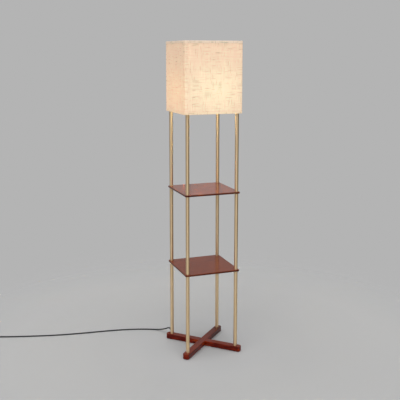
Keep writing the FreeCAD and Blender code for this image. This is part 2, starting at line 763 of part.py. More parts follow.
def switch_outline(width, length, z0, z1, nose=15.0):
    """A long hexagon seen from above, narrower towards the cord."""
    a, b, n = length / 2, width / 2, nose / 2
    pts = [(-a, -n), (-a + 9, -b), (a - 9, -b), (a, -n), (a, n), (a - 9, b), (-a + 9, b), (-a, n)]
    face = Part.Face(Part.makePolygon([V(x, y, z0) for x, y in pts + pts[:1]]))
    return face.extrude(V(0, 0, z1 - z0))


low = switch_outline(sw_w, sl, 0.0, split)
low = low.makeFillet(1.6, [e for e in low.Edges if abs(e.BoundBox.ZMin - e.BoundBox.ZMax) > 1])
low = low.cut(Part.makeBox(sl - 22, sw_w - 4, split, V(-sl / 2 + 11, -sw_w / 2 + 2, 2.0)))
for s in (-1, 1):
    low = low.cut(Part.makeCylinder(cd / 2 + 0.05, 14, V(s * (sl / 2 - 13), 0, 5), V(s, 0, 0)))
    low = low.fuse(Part.makeCylinder(2.6, split - 2.0, V(s * 16.0, s * 7.4, 2.0)))
    low = low.cut(Part.makeCylinder(1.3, split, V(s * 16.0, s * 7.4, 1.0)))
    low = low.cut(Part.makeCylinder(2.5, 1.6, V(s * 16.0, s * 7.4, -0.1)))
top = switch_outline(sw_w, sl, split + 0.05, sw_h)
top = top.makeFillet(1.6, [e for e in top.Edges if abs(e.BoundBox.ZMin - e.BoundBox.ZMax) > 1])
top = top.makeFillet(2.2, [e for e in top.Edges if e.BoundBox.ZMin > sw_h - 0.01])
top = top.cut(Part.makeBox(sl - 22, sw_w - 4, sw_h - 2.0 - split, V(-sl / 2 + 11, -sw_w / 2 + 2, split)))
rl, rw = float(dim("rocker_length")), float(dim("rocker_width"))
top = top.cut(Part.makeBox(rl + 1.2, rw + 1.0, 10, V(-rl / 2 - 0.6, -rw / 2 - 0.5, sw_h - 5)))
for s in (-1, 1):
    top = top.cut(Part.makeCylinder(cd / 2 + 0.05, 14, V(s * (sl / 2 - 13), 0, 5), V(s, 0, 0)))
    top = top.fuse(Part.makeCylinder(2.6, sw_h - 1.0 - split - 0.05, V(s * 16.0, s * 7.4, split + 0.05)))
    top = top.cut(Part.makeCylinder(1.3, 5.0, V(s * 16.0, s * 7.4, split - 0.1)))
    ear = Part.makeBox(5.0, 1.8, 3.4, V(-2.5, -0.9 + s * 7.0, sw_h - 5.2))
    top = top.fuse(ear.cut(Part.makeCylinder(0.95, 4.0, V(0, s * 7.0 - 2.0, sw_h - 3.8), V(0, 1, 0))))
shape_node("switch_base", low, sw_place)
shape_node("switch_cover", top.removeSplitter(), sw_place)

# rocker: a shallow V on top, drawn about its own pin, which turns in two ears of the cover
tilt = float(dim("rocker_tilt"))
a, t = rl / 2, math.tan(math.radians(tilt))
profile = [(-a, -1.2), (a, -1.2), (a, 3.8), (0, 3.8 - a * t), (-a, 3.8)]
rocker = Part.Face(Part.makePolygon([V(x, -rw / 2, z) for x, z in profile + profile[:1]])).extrude(V(0, rw, 0))
rocker = rocker.makeFillet(0.7, [e for e in rocker.Edges if e.BoundBox.ZMin > 2.4 and (abs(e.BoundBox.XMin) > 9 or e.BoundBox.XLength > 5)])
rocker = rocker.fuse([Part.makeCylinder(0.9, rw + 3.6, V(0, -rw / 2 - 1.8, 0), V(0, 1, 0)),
                      Part.makeBox(2.4, 4.0, 3.4, V(-1.2, -2.0, -4.2))]).removeSplitter()
pin_place = sw_place.multiply(FreeCAD.Placement(V(0, 0, sw_h - 3.8), turned((0, 1, 0), tilt)))
shape_node("switch_rocker", rocker, pin_place)
print("rocker pivot", [round(c, 4) for c in pin_place.Base],
      "axis", [round(c, 5) for c in sw_place.Rotation.multVec(V(0, -1, 0))])

screws = []
for s in (-1, 1):
    sc = Part.makeCylinder(2.3, 1.2, V(s * 16.0, s * 7.4, 0.25)).fuse(
        Part.makeCylinder(1.2, 10.5, V(s * 16.0, s * 7.4, 1.45))).cut(
        Part.makeBox(3.6, 0.7, 0.8, V(s * 16.0 - 1.8, s * 7.4 - 0.35, 0.2)))
    screws.append(sc.removeSplitter())
shape_node("switch_screws", Part.makeCompound(screws), sw_place)

blades = []
for s in (-1, 1):
    bl = Part.makeBox(9.0, 3.2, 0.6, V(-11.5 if s < 0 else 2.5, -1.6, 6.2)).fuse(
        Part.makeBox(0.6, 3.2, 4.2, V(-11.5 if s < 0 else 10.9, -1.6, 2.05)))
    blades.append(bl.removeSplitter())
shape_node("switch_contacts", Part.makeCompound(blades), sw_place)

# ---------------------------------------------------------------- flat two-pin plug
# Local frame of the plug: X along its pins, origin at the cord's end of its body, on the cord's axis.
plug_at = V(*END[-1])
pl, pw, ph = float(dim("plug_length")), float(dim("plug_width")), float(dim("plug_height"))
plug_dir = V(*END[-1]) - V(*END[-2])
plug_dir.z = 0
plug_yaw = math.degrees(math.atan2(plug_dir.y, plug_dir.x))
plug_place = FreeCAD.Placement(plug_at, turned((0, 0, 1), plug_yaw))
nose = Part.makeCone(4.0, 6.0, 14.0, V(0, 0, 0), V(1, 0, 0))
hull = [(12, -7.0), (18, -pw / 2 + 1.5), (23, -pw / 2), (pl, -pw / 2), (pl, pw / 2), (23, pw / 2), (18, pw / 2 - 1.5), (12, 7.0)]
shell = Part.Face(Part.makePolygon([V(x, y, -ph / 2) for x, y in hull + hull[:1]])).extrude(V(0, 0, ph))
shell = shell.makeFillet(2.6, [e for e in shell.Edges if e.BoundBox.XMin < pl - 0.5 and e.BoundBox.XLength + e.BoundBox.YLength > 1.0])
body_shape = nose.fuse(shell)
pp, pr, pn = float(dim("pin_pitch")), float(dim("pin_od")) / 2, float(dim("pin_length"))
pins = []
for s in (-1, 1):
    body_shape = body_shape.fuse(Part.makeCylinder(pr + 0.35, 10.0, V(pl - 0.5, s * pp / 2, 0), V(1, 0, 0)))
for s in (-1, 1):
    body_shape = body_shape.cut(Part.makeCylinder(pr, 30.0, V(pl - 9.0, s * pp / 2, 0), V(1, 0, 0)))
    pin = Part.makeCylinder(pr, pn + 8.0, V(pl - 8.0, s * pp / 2, 0), V(1, 0, 0))
    tip = [e for e in pin.Edges if isinstance(e.Curve, Part.Circle) and e.BoundBox.XMin > pl + pn - 0.01]
    pins.append(pin.makeFillet(1.4, tip))
shape_node("plug_body", body_shape.removeSplitter(), plug_place)
shape_node("plug_pins", Part.makeCompound(pins), plug_place)
print("plug at", [round(c, 2) for c in plug_at], "yaw", round(plug_yaw, 2))

# ================================================================ shade
# A stiff translucent liner carries the linen. Fabric bands fold over both rims.
def square_shell(label, half_out, thk, z0, z1, corner):
    """A square tube, rounded in plan: half_out to the outer face."""
    b = new_body(label, 0, 0, z0)
    sk = new_sketch(b, label + "_outline")
    add_rectangle(sk, half_out * 2, half_out * 2)
    pad(b, sk, z1 - z0, label + "_block")
    doc.recompute()
    round_edges(b, vertical_edges(b.Tip.Shape), corner, label + "_corners")
    sk = new_sketch(b, label + "_hollow")
    inner, r = half_out - thk, corner - thk
    rounded_square(sk, inner, r)
    pocket(b, sk, z1 - z0, label + "_room", reverse=True)
    return b


def rounded_square(sk, half, r):
    """A square with rounded corners, all sizes held to the sheet."""
    half, r = size(half), size(r)
    h, q = half.value, r.value
    k = h - q
    first = sk.GeometryCount
    c = [(k, k, 0), (-k, k, 90), (-k, -k, 180), (k, -k, 270)]
    for x, y, a in c:
        sk.addGeometry(Part.ArcOfCircle(Part.Circle(V(x, y, 0), V(0, 0, 1), q), math.radians(a), math.radians(a + 90)), False)
    for (x1, y1), (x2, y2) in (((k, h), (-k, h)), ((-h, k), (-h, -k)), ((-k, -h), (k, -h)), ((h, -k), (h, k))):
        sk.addGeometry(Part.LineSegment(V(x1, y1, 0), V(x2, y2, 0)), False)
    A, L = first, first + 4
    for i in range(4):
        sk.addConstraint(Sketcher.Constraint("Tangent", A + i, 2, L + i, 1))
        sk.addConstraint(Sketcher.Constraint("Tangent", L + i, 2, A + (i + 1) % 4, 1))
    for i in (0, 2):
        sk.addConstraint(Sketcher.Constraint("Horizontal", L + i))
    for i in (1, 3):
        sk.addConstraint(Sketcher.Constraint("Vertical", L + i))
    for i in (1, 2, 3):
        sk.addConstraint(Sketcher.Constraint("Equal", A, A + i))
    i = sk.addConstraint(Sketcher.Constraint("Radius", A, q))
    sk.setExpression("Constraints[%d]" % i, r.text)
    pin_down(sk, "DistanceX", A, 3, half - r)
    pin_down(sk, "DistanceY", A, 3, half - r)
    pin_down(sk, "DistanceX", A + 2, 3, r - half)
    pin_down(sk, "DistanceY", A + 2, 3, r - half)


sb = dim("shade_base")
st = sb + dim("shade_height")
half = dim("shade_width") / 2
fab_half = half - dim("hem_thk")
lin_half = fab_half - dim("fabric_thk") - dim("liner_gap")
lin_in = lin_half - dim("liner_thk")
fold = dim("hem_fold")
square_shell("shade_fabric", fab_half, dim("fabric_thk"), sb + fold, st - fold, dim("shade_corner") - dim("hem_thk"))
square_shell("shade_liner", lin_half, dim("liner_thk"), sb + fold, st - fold,
             dim("shade_corner") - dim("hem_thk") - dim("fabric_thk") - dim("liner_gap"))


def hem(label, z0, z1, cap_z0):
    """Band on the outside of the fabric with a lip folded over its edge."""
    b = new_body(label, 0, 0, z0)
    sk = new_sketch(b, label + "_outline")
    add_rectangle(sk, half * 2, half * 2)
    pad(b, sk, z1 - z0, label + "_block")
    doc.recompute()
    round_edges(b, vertical_edges(b.Tip.Shape), dim("shade_corner"), label + "_corners")
    sk = new_sketch(b, label + "_through")
    rounded_square(sk, lin_in, dim("shade_corner") - (half - lin_in))
    pocket(b, sk, z1 - z0, label + "_opening", reverse=True)
    if cap_z0 > 0:          # lip on top: the room for the fabric is cut from below
        sk = new_sketch(b, label + "_room")
        rounded_square(sk, fab_half, dim("shade_corner") - dim("hem_thk"))
        pocket(b, sk, z1 - z0 - fold, label + "_seat", reverse=True)
    else:
        sk = new_sketch(b, label + "_room", offset=fold)
        rounded_square(sk, fab_half, dim("shade_corner") - dim("hem_thk"))
        pocket(b, sk, z1 - z0 - fold, label + "_seat", reverse=True)
    return b


hem("shade_hem_top", st - dim("hem_height"), st, 1)
hem("shade_hem_bottom", sb, sb + dim("hem_height"), -1)

# wire rings, swept round a rounded square
ring_half = float(lin_in) - float(dim("ring_wire")) / 2 - 0.15
ring_r = 13.0
wr = float(dim("ring_wire")) / 2


def make_ring(z):
    """Four straight rods and four elbows, fused end to end."""
    k, h, r = ring_half - ring_r, ring_half, ring_r
    parts = []
    for a in (0, 90, 180, 270):
        rod = Part.makeCylinder(wr, 2 * k, V(h, -k, z), V(0, 1, 0))
        elbow = Part.Face(Part.Wire(Part.makeCircle(wr, V(h, k, z), V(0, 1, 0)))).revolve(V(k, k, z), V(0, 0, 1), 90)
        for q in (rod, elbow):
            parts.append(q.rotate(V(0, 0, 0), V(0, 0, 1), a) or q)
    return parts[0].fuse(parts[1:])


low_z = float(sb) + float(fold) + wr + 0.1
high_z = float(st) - float(fold) - wr - 0.1
shape_node("shade_upper_ring", make_ring(high_z))

frame = make_ring(low_z)
apex = ring_half - ring_r * (1 - math.sqrt(0.5))
tab0, tabt = float(bracket_top), float(dim("tab_thk"))
extra = []
for n, sx, sy in CORNERS:
    cx, cy = float(p) * sx, float(p) * sy
    ax, ay = apex * sx, apex * sy
    extra.append(Part.makeCylinder(wr - 0.3, tab0 + tabt - low_z, V(ax, ay, low_z)))
    disc = Part.makeCylinder(11.4, tabt, V(cx, cy, tab0))
    d = V(ax - cx, ay - cy, 0)
    w = V(-d.y, d.x, 0).normalize()
    c = V(cx, cy, tab0)
    a1 = V(ax, ay, tab0) + V(d).normalize() * 1.4
    poly = [c + w * 8.0, c - w * 8.0, a1 - w * 2.0, a1 + w * 2.0]
    neck_ = Part.Face(Part.makePolygon(poly + poly[:1])).extrude(V(0, 0, tabt))
    hole = Part.makeCylinder(float(dim("tab_hole")) / 2, tabt + 2, V(cx, cy, tab0 - 1))
    limit = Part.makeBox(2 * 125.9, 2 * 125.9, 10, V(-125.9, -125.9, tab0 - 2))
    extra.append(disc.fuse(neck_).cut(hole).common(limit))
frame = frame.fuse(extra).removeSplitter()
shape_node("shade_lower_frame", frame)

# ================================================================ bulb
bf = float(dim("bulb_foot"))
br = float(dim("bulb_od")) / 2


def lathe(points, z0):
    """Turns a closed outline about the lamp's axis. A point may carry a middle point of an arc to it."""
    edges = []
    n = len(points)
    for i in range(n):
        a, b_ = points[i], points[(i + 1) % n]
        pa, pb = V(a[0], 0, z0 + a[1]), V(b_[0], 0, z0 + b_[1])
        if len(b_) == 4:
            edges.append(Part.Arc(pa, V(b_[2], 0, z0 + b_[3]), pb).toShape())
        else:
            edges.append(Part.LineSegment(pa, pb).toShape())
    return Part.Face(Part.Wire(edges)).revolve(V(0, 0, 0), V(0, 0, 1), 360)


def globe(off):
    """Outline of the glass, off inside its outer face: neck, shoulder and ball."""
    r = br - off
    zc = 76.0
    a0 = math.radians(-42)
    jx, jz = r * math.cos(a0), zc + r * math.sin(a0)
    am = math.radians(24)
    return (13.2 - off, 25.0), (13.4 - off, 30.0), (jx, jz, 17.0 - off * 0.9, 43.5), (0.0, zc + r, r * math.cos(am), zc + r * math.sin(am))


o, i_ = globe(0.0), globe(1.0)
outer = lathe([(0.0, 25.0), o[0], o[1], o[2], o[3]], bf)
inner = lathe([(0.0, 24.0), (i_[0][0], 24.0), i_[1], i_[2], i_[3]], bf)
shape_node("bulb_glass", outer.cut(inner))

# screw cap, drawn at its core size, with the glass seated in it
cap = lathe([(5.0, 2.2), (10.8, 3.8), (13.05, 6.4), (13.05, 24.0), (13.9, 24.4), (13.9, 26.6), (13.3, 26.6), (13.3, 24.9),
             (12.5, 24.9), (12.5, 6.8), (10.5, 4.6), (5.0, 3.0)], bf)
shape_node("bulb_cap", cap)
shape_node("bulb_foot_contact", lathe([(0.0, 0.1), (3.6, 0.6), (4.9, 2.1), (4.9, 3.4), (0.0, 3.4)], bf))
stem = lathe([(0.0, 24.2), (11.9, 24.2), (11.9, 25.4), (9.0, 28.0), (3.4, 36.0), (2.2, 50.0), (2.2, 58.0), (0.0, 58.0)], bf)
shape_node("bulb_stem", stem)
rods = []
for k in range(4):
    a = math.radians(45 + 90 * k)
    rods.append(Part.makeCylinder(0.9, 32.0, V(3.4 * math.cos(a), 3.4 * math.sin(a), bf + 59.0), V(0.28 * math.cos(a), 0.28 * math.sin(a), 1)))
rods.append(Part.makeCylinder(5.0, 0.8, V(0, 0, bf + 58.05)))
hub = rods[-1].fuse(rods[:-1]).removeSplitter()
shape_node("bulb_filaments", hub)

# ================================================================ checks and files
doc.recompute()
bad = []
for obj in doc.Objects:
    if "Invalid" in obj.State or "Error" in obj.State:
        bad.append("%s (%s): %s" % (obj.Name, obj.TypeId, obj.State))
labels = [o.Label for o in NODES]
if len(set(labels)) != len(labels):
    bad.append("repeated labels: %s" % sorted(x for x in labels if labels.count(x) > 1))
if len(NODES) > 60:
    bad.append("too many nodes: %d" % len(NODES))
for obj in NODES:
    s = obj.Shape
    if s.isNull() or not s.isValid() or not s.Solids:
        bad.append("%s: bad shape" % obj.Label)
if bad:
    raise RuntimeError("; ".join(bad))

os.makedirs("parts", exist_ok=True)
for obj in NODES:
    obj.Shape.exportStep("parts/%s.step" % obj.Label)
    bb = obj.Shape.BoundBox
    print("%-26s solids %2d  vol %9.1f  x %8.1f %8.1f  y %7.1f %7.1f  z %7.1f %7.1f" % (
        obj.Label, len(obj.Shape.Solids), obj.Shape.Volume, bb.XMin, bb.XMax, bb.YMin, bb.YMax, bb.ZMin, bb.ZMax))
print(len(NODES), "nodes")
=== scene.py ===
import math
import random

import bmesh
import bpy
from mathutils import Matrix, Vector, noise


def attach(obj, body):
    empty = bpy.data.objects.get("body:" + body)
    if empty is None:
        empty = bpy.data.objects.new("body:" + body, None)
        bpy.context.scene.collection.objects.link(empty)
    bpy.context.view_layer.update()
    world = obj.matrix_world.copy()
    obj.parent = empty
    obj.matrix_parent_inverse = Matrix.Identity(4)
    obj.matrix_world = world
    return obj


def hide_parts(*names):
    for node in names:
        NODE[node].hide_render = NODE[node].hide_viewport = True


# Shelf floor lamp. Metres, in the CAD frame: +Z up, the origin on the floor under the crossed bars.

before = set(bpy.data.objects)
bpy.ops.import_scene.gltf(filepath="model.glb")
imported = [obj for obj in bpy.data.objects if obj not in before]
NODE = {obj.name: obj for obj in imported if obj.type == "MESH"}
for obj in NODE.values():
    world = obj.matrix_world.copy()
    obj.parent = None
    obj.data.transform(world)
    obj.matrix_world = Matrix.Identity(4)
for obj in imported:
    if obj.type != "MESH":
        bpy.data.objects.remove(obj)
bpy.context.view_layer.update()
scene = bpy.context.scene
random.seed(7)


def link(obj):
    scene.collection.objects.link(obj)
    return obj


# ================================================================ camera
cam_data = bpy.data.cameras.new("camera")
cam_data.lens, cam_data.sensor_width = 62.3095, 36.0
cam_data.shift_x, cam_data.shift_y = 0.00905, -0.1
cam_data.clip_start, cam_data.clip_end = 0.05, 200.0
camera = link(bpy.data.objects.new("camera", cam_data))
camera.location = (-1.05318, -2.83532, 1.31744)
camera.rotation_mode = "QUATERNION"
camera.rotation_quaternion = Vector((0.33495, 0.93015, -0.15043)).to_track_quat("-Z", "Y")
scene.camera = camera
scene.view_settings.view_transform = "Standard"

# ================================================================ cord route
# The same points as the CAD tubes, but the lead comes down from the post a few millimetres sooner.
FLOOR = 0.00305
LEAD = [
    (-0.1125, 0.1460, 0.0370), (-0.1145, 0.1650, 0.0325), (-0.1210, 0.1840, 0.0208), (-0.1335, 0.2040, 0.0108),
    (-0.1520, 0.2245, 0.0048), (-0.1780, 0.2420, FLOOR), (-0.2250, 0.2605, FLOOR), (-0.2800, 0.2760, FLOOR),
    (-0.3410, 0.2880, FLOOR), (-0.4050, 0.2966, FLOOR), (-0.4710, 0.3034, FLOOR), (-0.5390, 0.3112, FLOOR),
    (-0.6060, 0.3222, FLOOR), (-0.6720, 0.3367, FLOOR), (-0.7370, 0.3535, FLOOR), (-0.8010, 0.3717, FLOOR),
    (-0.8510, 0.3868, 0.0035), (-0.8940, 0.3998, 0.0050),
]
heading = Vector(LEAD[-1]) - Vector(LEAD[-2])
heading.z = 0.0
heading.normalize()
side = Vector((heading.y, -heading.x, 0.0))
switch_in = Vector(LEAD[-1])
switch_out = switch_in + heading * 0.062
coil_in = switch_out + heading * 0.046
coil_mid = coil_in + side * 0.0365


def by_coil(ahead, right, z):
    q = coil_mid + heading * ahead + side * right
    return (q.x, q.y, z)


def by_tail(ahead, right, z):
    q = switch_out + heading * ahead + side * right
    return (q.x, q.y, z)


TAIL = [by_tail(0.0, 0.0, 0.0050), by_tail(0.015, 0.0, 0.0044), by_tail(0.031, -0.0008, FLOOR), by_tail(0.046, -0.0027, FLOOR)]
END = [
    by_coil(0.0390, 0.0020, 0.0091), by_coil(0.0390, 0.0170, 0.0091), by_coil(0.0333, 0.0309, 0.0088),
    by_coil(0.0227, 0.0415, 0.0076), by_coil(0.0088, 0.0472, 0.0069), by_coil(-0.0062, 0.0472, 0.0068),
]


def coil_turns():
    """Two turns in on the floor, up, and two turns out on top of them, sixteen points to a turn."""
    points, step = [], 22.5
    angle = -90.0 + step
    while angle < 1440.0 - step / 2:
        if angle <= 630.0:
            r, z = 0.0392 - 0.0120 * (angle + 90.0) / 720.0, FLOOR
        elif angle <= 720.0:
            t = (angle - 630.0) / 90.0
            r, z = 0.0272, FLOOR + 0.0060 * t * t * (3 - 2 * t)
        else:
            r, z = 0.0272 + 0.0118 * (angle - 720.0) / 720.0, FLOOR + 0.0060
        a = math.radians(angle)
        points.append(by_coil(1.019 * r * math.cos(a), 1.019 * r * math.sin(a), z))
        angle += step
    return points


def spline_curve(name, points, diameter):
    data = bpy.data.curves.new(name, "CURVE")
    data.dimensions = "3D"
    sp = data.splines.new("NURBS")
    sp.points.add(len(points) - 1)
    for q, co in zip(sp.points, points):
        q.co = (*co, 1.0)
        q.radius = diameter / 2            # a curve's box reaches out by its points' radius, so that is the real one
    sp.order_u = 3
    sp.use_endpoint_u = True
    sp.resolution_u = 8
    data.bevel_depth = 1.0                 # times the points' radius
    data.bevel_resolution = 6
    data.use_fill_caps = True
    return link(bpy.data.objects.new(name, data))


plug_tip = by_coil(-0.0140, 0.0472, 0.0068)
cord = spline_curve("mains_cord", LEAD + TAIL + coil_turns() + END + [plug_tip], 0.006)
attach(cord, "stand")
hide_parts("cord_lead", "cord_tail", "cord_coil", "cord_end")


# ================================================================ modelled cloth: cover, bands, strap
def smooth(obj, angle=35.0):
    for poly in obj.data.polygons:
        poly.use_smooth = True
    obj.data.set_sharp_from_angle(angle=math.radians(angle))


def strip(name, stations, section, place):
    """A strip of cloth with thickness: the closed section is carried along the stations, and its two ends are shut.

    The section's points come in two matching halves, the outer face and then the inner face on the way back. Each point
    carries how far it lies along the cloth, which goes into the attribute lay beside the length along the strip."""
    bm = bmesh.new()
    lay = bm.verts.layers.float_vector.new("lay")
    rows = []
    for st in stations:
        row = []
        for k, point in enumerate(section):
            v = bm.verts.new(place(st, k, point))
            v[lay] = (st[2], point[2], 0.0)
            row.append(v)
        rows.append(row)
    n = len(section)
    for a, b in zip(rows, rows[1:]):
        for i in range(n):
            j = (i + 1) % n
            bm.faces.new((a[i], b[i], b[j], a[j]))
    for row, flip in ((rows[0], False), (rows[-1], True)):
        for i in range(n // 2 - 1):
            q = (row[i], row[i + 1], row[n - 2 - i], row[n - 1 - i])
            bm.faces.new(q[::-1] if flip else q)
    bmesh.ops.recalc_face_normals(bm, faces=bm.faces)
    mesh = bpy.data.meshes.new(name)
    bm.to_mesh(mesh)
    bm.free()
    return link(bpy.data.objects.new(name, mesh))


def wall_path(half, r, start, over, step, arc):
    """Stations once round a square with rounded corners, from the back wall by way of the left one, and a bit further."""
    c, spots, length = half - r, [], [0.0]

    def line(a, b, n):
        a, b = Vector(a), Vector(b)
        run = (b - a).length
        count = max(1, round(run / step))
        for i in range(count):
            spots.append((a.lerp(b, i / count), Vector(n), length[0] + run * i / count))
        length[0] += run

    def bend(centre, first):
        for i in range(arc):
            turn = math.radians(90.0 * i / arc)
            a = math.radians(first) + turn
            n = Vector((math.cos(a), math.sin(a)))
            spots.append((Vector(centre) + n * r, n, length[0] + r * turn))
        length[0] += r * math.pi / 2

    line((start, half), (-c, half), (0, 1))
    bend((-c, c), 90)
    line((-half, c), (-half, -c), (-1, 0))
    bend((-c, -c), 180)
    line((-c, -half), (c, -half), (0, -1))
    bend((c, -c), 270)
    line((half, -c), (half, c), (1, 0))
    bend((c, c), 0)
    line((c, half), (start, half), (0, 1))
    line((start, half), (start - over, half), (0, 1))
    spots.append((Vector((start - over, half)), Vector((0.0, 1.0)), length[0]))
    return spots, length[0]


def ease(t):
    t = min(1.0, max(0.0, t))
    return t * t * (3 - 2 * t)


Z_LOW, Z_HIGH = 1.070, 1.375
SEAM_AT, SEAM_OVER = 0.106, 0.012

cover_path, cover_len = wall_path(0.1302, 0.0092, SEAM_AT, SEAM_OVER, 0.0075, 9)
z_rows = [Z_LOW + 0.0008 + (Z_HIGH - Z_LOW - 0.0016) * i / 42 for i in range(43)]
cover_section = [(0.00025, z, z) for z in z_rows] + [(-0.00025, z, z) for z in reversed(z_rows)]


def cover_place(st, k, point):
    p, n, u = st
    o, z, _ = point
    lift = 0.00056 * ease((u - (cover_len - SEAM_OVER - 0.005)) / 0.004)
    # the cloth lies a hair off its liner between the bands, never the same twice
    free = ease((z - Z_LOW - 0.012) / 0.03) * ease((Z_HIGH - 0.012 - z) / 0.03)
    swell = 0.00022 * free * (0.6 + noise.noise(Vector((p.x * 14, p.y * 14, z * 11))))
    q = p + n * (o + lift + max(0.0, swell))
    return (q.x, q.y, z)


cover = strip("shade_cover", cover_path, cover_section, cover_place)
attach(cover, "shade")
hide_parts("shade_fabric")

# a folded band over each rim: its free edge on the cover, over the rim, and down inside as far as the wire ring
BAND_OUT = [(0.15, 10.25), (0.42, 10.05), (0.50, 9.50), (0.50, 7.40), (0.51, 5.20), (0.50, 3.20), (0.49, 1.40), (0.36, 0.60),
            (0.02, 0.15), (-0.60, 0.00), (-1.12, 0.10), (-1.30, 0.45)]
BAND_IN = [(0.03, 10.05), (0.04, 9.80), (0.05, 9.40), (0.05, 7.40), (0.05, 5.20), (0.05, 3.20), (0.05, 1.60), (0.03, 0.95),
           (-0.12, 0.60), (-0.60, 0.50), (-1.05, 0.56), (-1.16, 0.62)]


def band(name, node, rim, way, seed):
    along, section = 0.0, []
    last = None
    for o, d in BAND_OUT:
        along += 0.0 if last is None else math.hypot(o - last[0], d - last[1]) / 1000
        last = (o, d)
        section.append((o / 1000, rim + way * d / 1000, along + seed))
    section += [(o / 1000, rim + way * d / 1000, s[2]) for (o, d), s in zip(reversed(BAND_IN), reversed(section[:]))]
    path, length = wall_path(0.1305, 0.0095, SEAM_AT - 0.030, 0.010, 0.006, 10)
    n = len(section)

    def place(st, k, point):
        p, out, u = st
        o, z, _ = point
        pair = min(k, n - 1 - k)
        lift = 0.00052 * ease((u - (length - 0.010 - 0.004)) / 0.003)
        drift = 0.00030 * noise.noise(Vector((u * 31, seed * 9, 0.3))) + 0.00014 * noise.noise(Vector((u * 140, seed * 5, 1.3)))
        if pair < 3:                      # the folded edge isn't ruler straight
            z += drift
        soft = 0.00012 * noise.noise(Vector((u * 60, z * 300, seed)))
        q = p + out * (o + lift + (soft if 2 < pair < 8 else 0.0))
        return (q.x, q.y, z)

    obj = strip(name, path, section, place)
    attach(obj, "shade")
    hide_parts(node)
    return obj


band_top = band("shade_band_top", "shade_hem_top", Z_HIGH, -1.0, 3.0)
band_bottom = band("shade_band_bottom", "shade_hem_bottom", Z_LOW, 1.0, 5.0)


def strap_path():
    """Round the coil's four strands as a rounded box, the loose end over the start."""
    w, top, r, base = 0.0098, 0.0131, 0.0030, 0.00050
    spots, length = [], [0.0]

    def line(a, b, n, count=4, up=(0.0, 0.0)):
        a, b = Vector(a), Vector(b)
        for i in range(count):
            t = i / count
            spots.append((a.lerp(b, t) + Vector((0.0, up[0] + (up[1] - up[0]) * t)), Vector(n), length[0] + (b - a).length * t))
        length[0] += (b - a).length

    def bend(centre, first, up=0.0):
        for i in range(5):
            a = math.radians(first - 90.0 * i / 5)
            n = Vector((math.cos(a), math.sin(a)))
            spots.append((Vector(centre) + n * r + Vector((0.0, up)), n, length[0] + r * math.radians(90.0 * i / 5)))
        length[0] += r * math.pi / 2

    line((-0.003, top), (w - r, top), (0, 1))
    bend((w - r, top - r), 90)
    line((w, top - r), (w, base + r), (1, 0))
    bend((w - r, base + r), 0)
    line((w - r, base), (-w + r, base), (0, -1), 6)
    bend((-w + r, base + r), -90)
    line((-w, base + r), (-w, top - r), (-1, 0))
    bend((-w + r, top - r), -180)
    line((-w + r, top), (-0.0042, top), (0, 1), 2, (0.0, 0.0010))
    line((-0.0042, top), (0.0040, top), (0, 1), 5, (0.0010, 0.00112))
    line((0.0040, top), (0.0068, top), (0, 1), 3, (0.00112, 0.0020))
    spots.append((Vector((0.0068, top + 0.0020)), Vector((0.0, 1.0)), length[0]))
    return spots


strap_at = coil_mid - heading * 0.033
STRAP = [(-4.5, 0.0), (-4.38, 0.36), (-4.0, 0.48), (0.0, 0.50), (4.0, 0.48), (4.38, 0.36), (4.5, 0.0)]
STRAP += [(4.38, -0.36), (4.0, -0.48), (0.0, -0.50), (-4.0, -0.48), (-4.38, -0.36)]


def strap():
    bm = bmesh.new()
    rows = []
    for p, n, u in strap_path():
        row = []
        for w, t in STRAP:
            q = p + n * (t / 1000)
            spot = strap_at + heading * q.x + side * (w / 1000 + 0.0003 * math.sin(u * 160))
            row.append(bm.verts.new((spot.x, spot.y, max(0.0001, q.y))))
        rows.append(row)
    n = len(STRAP)
    for a, b in zip(rows, rows[1:]):
        for i in range(n):
            j = (i + 1) % n
            bm.faces.new((a[i], b[i], b[j], a[j]))
    bm.faces.new(rows[0][::-1])
    bm.faces.new(rows[-1])
    bmesh.ops.recalc_face_normals(bm, faces=bm.faces)
    mesh = bpy.data.meshes.new("coil_strap")
    bm.to_mesh(mesh)
    bm.free()
    return link(bpy.data.objects.new("coil_strap", mesh))


coil_strap = strap()
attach(coil_strap, "stand")
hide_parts("coil_tie")


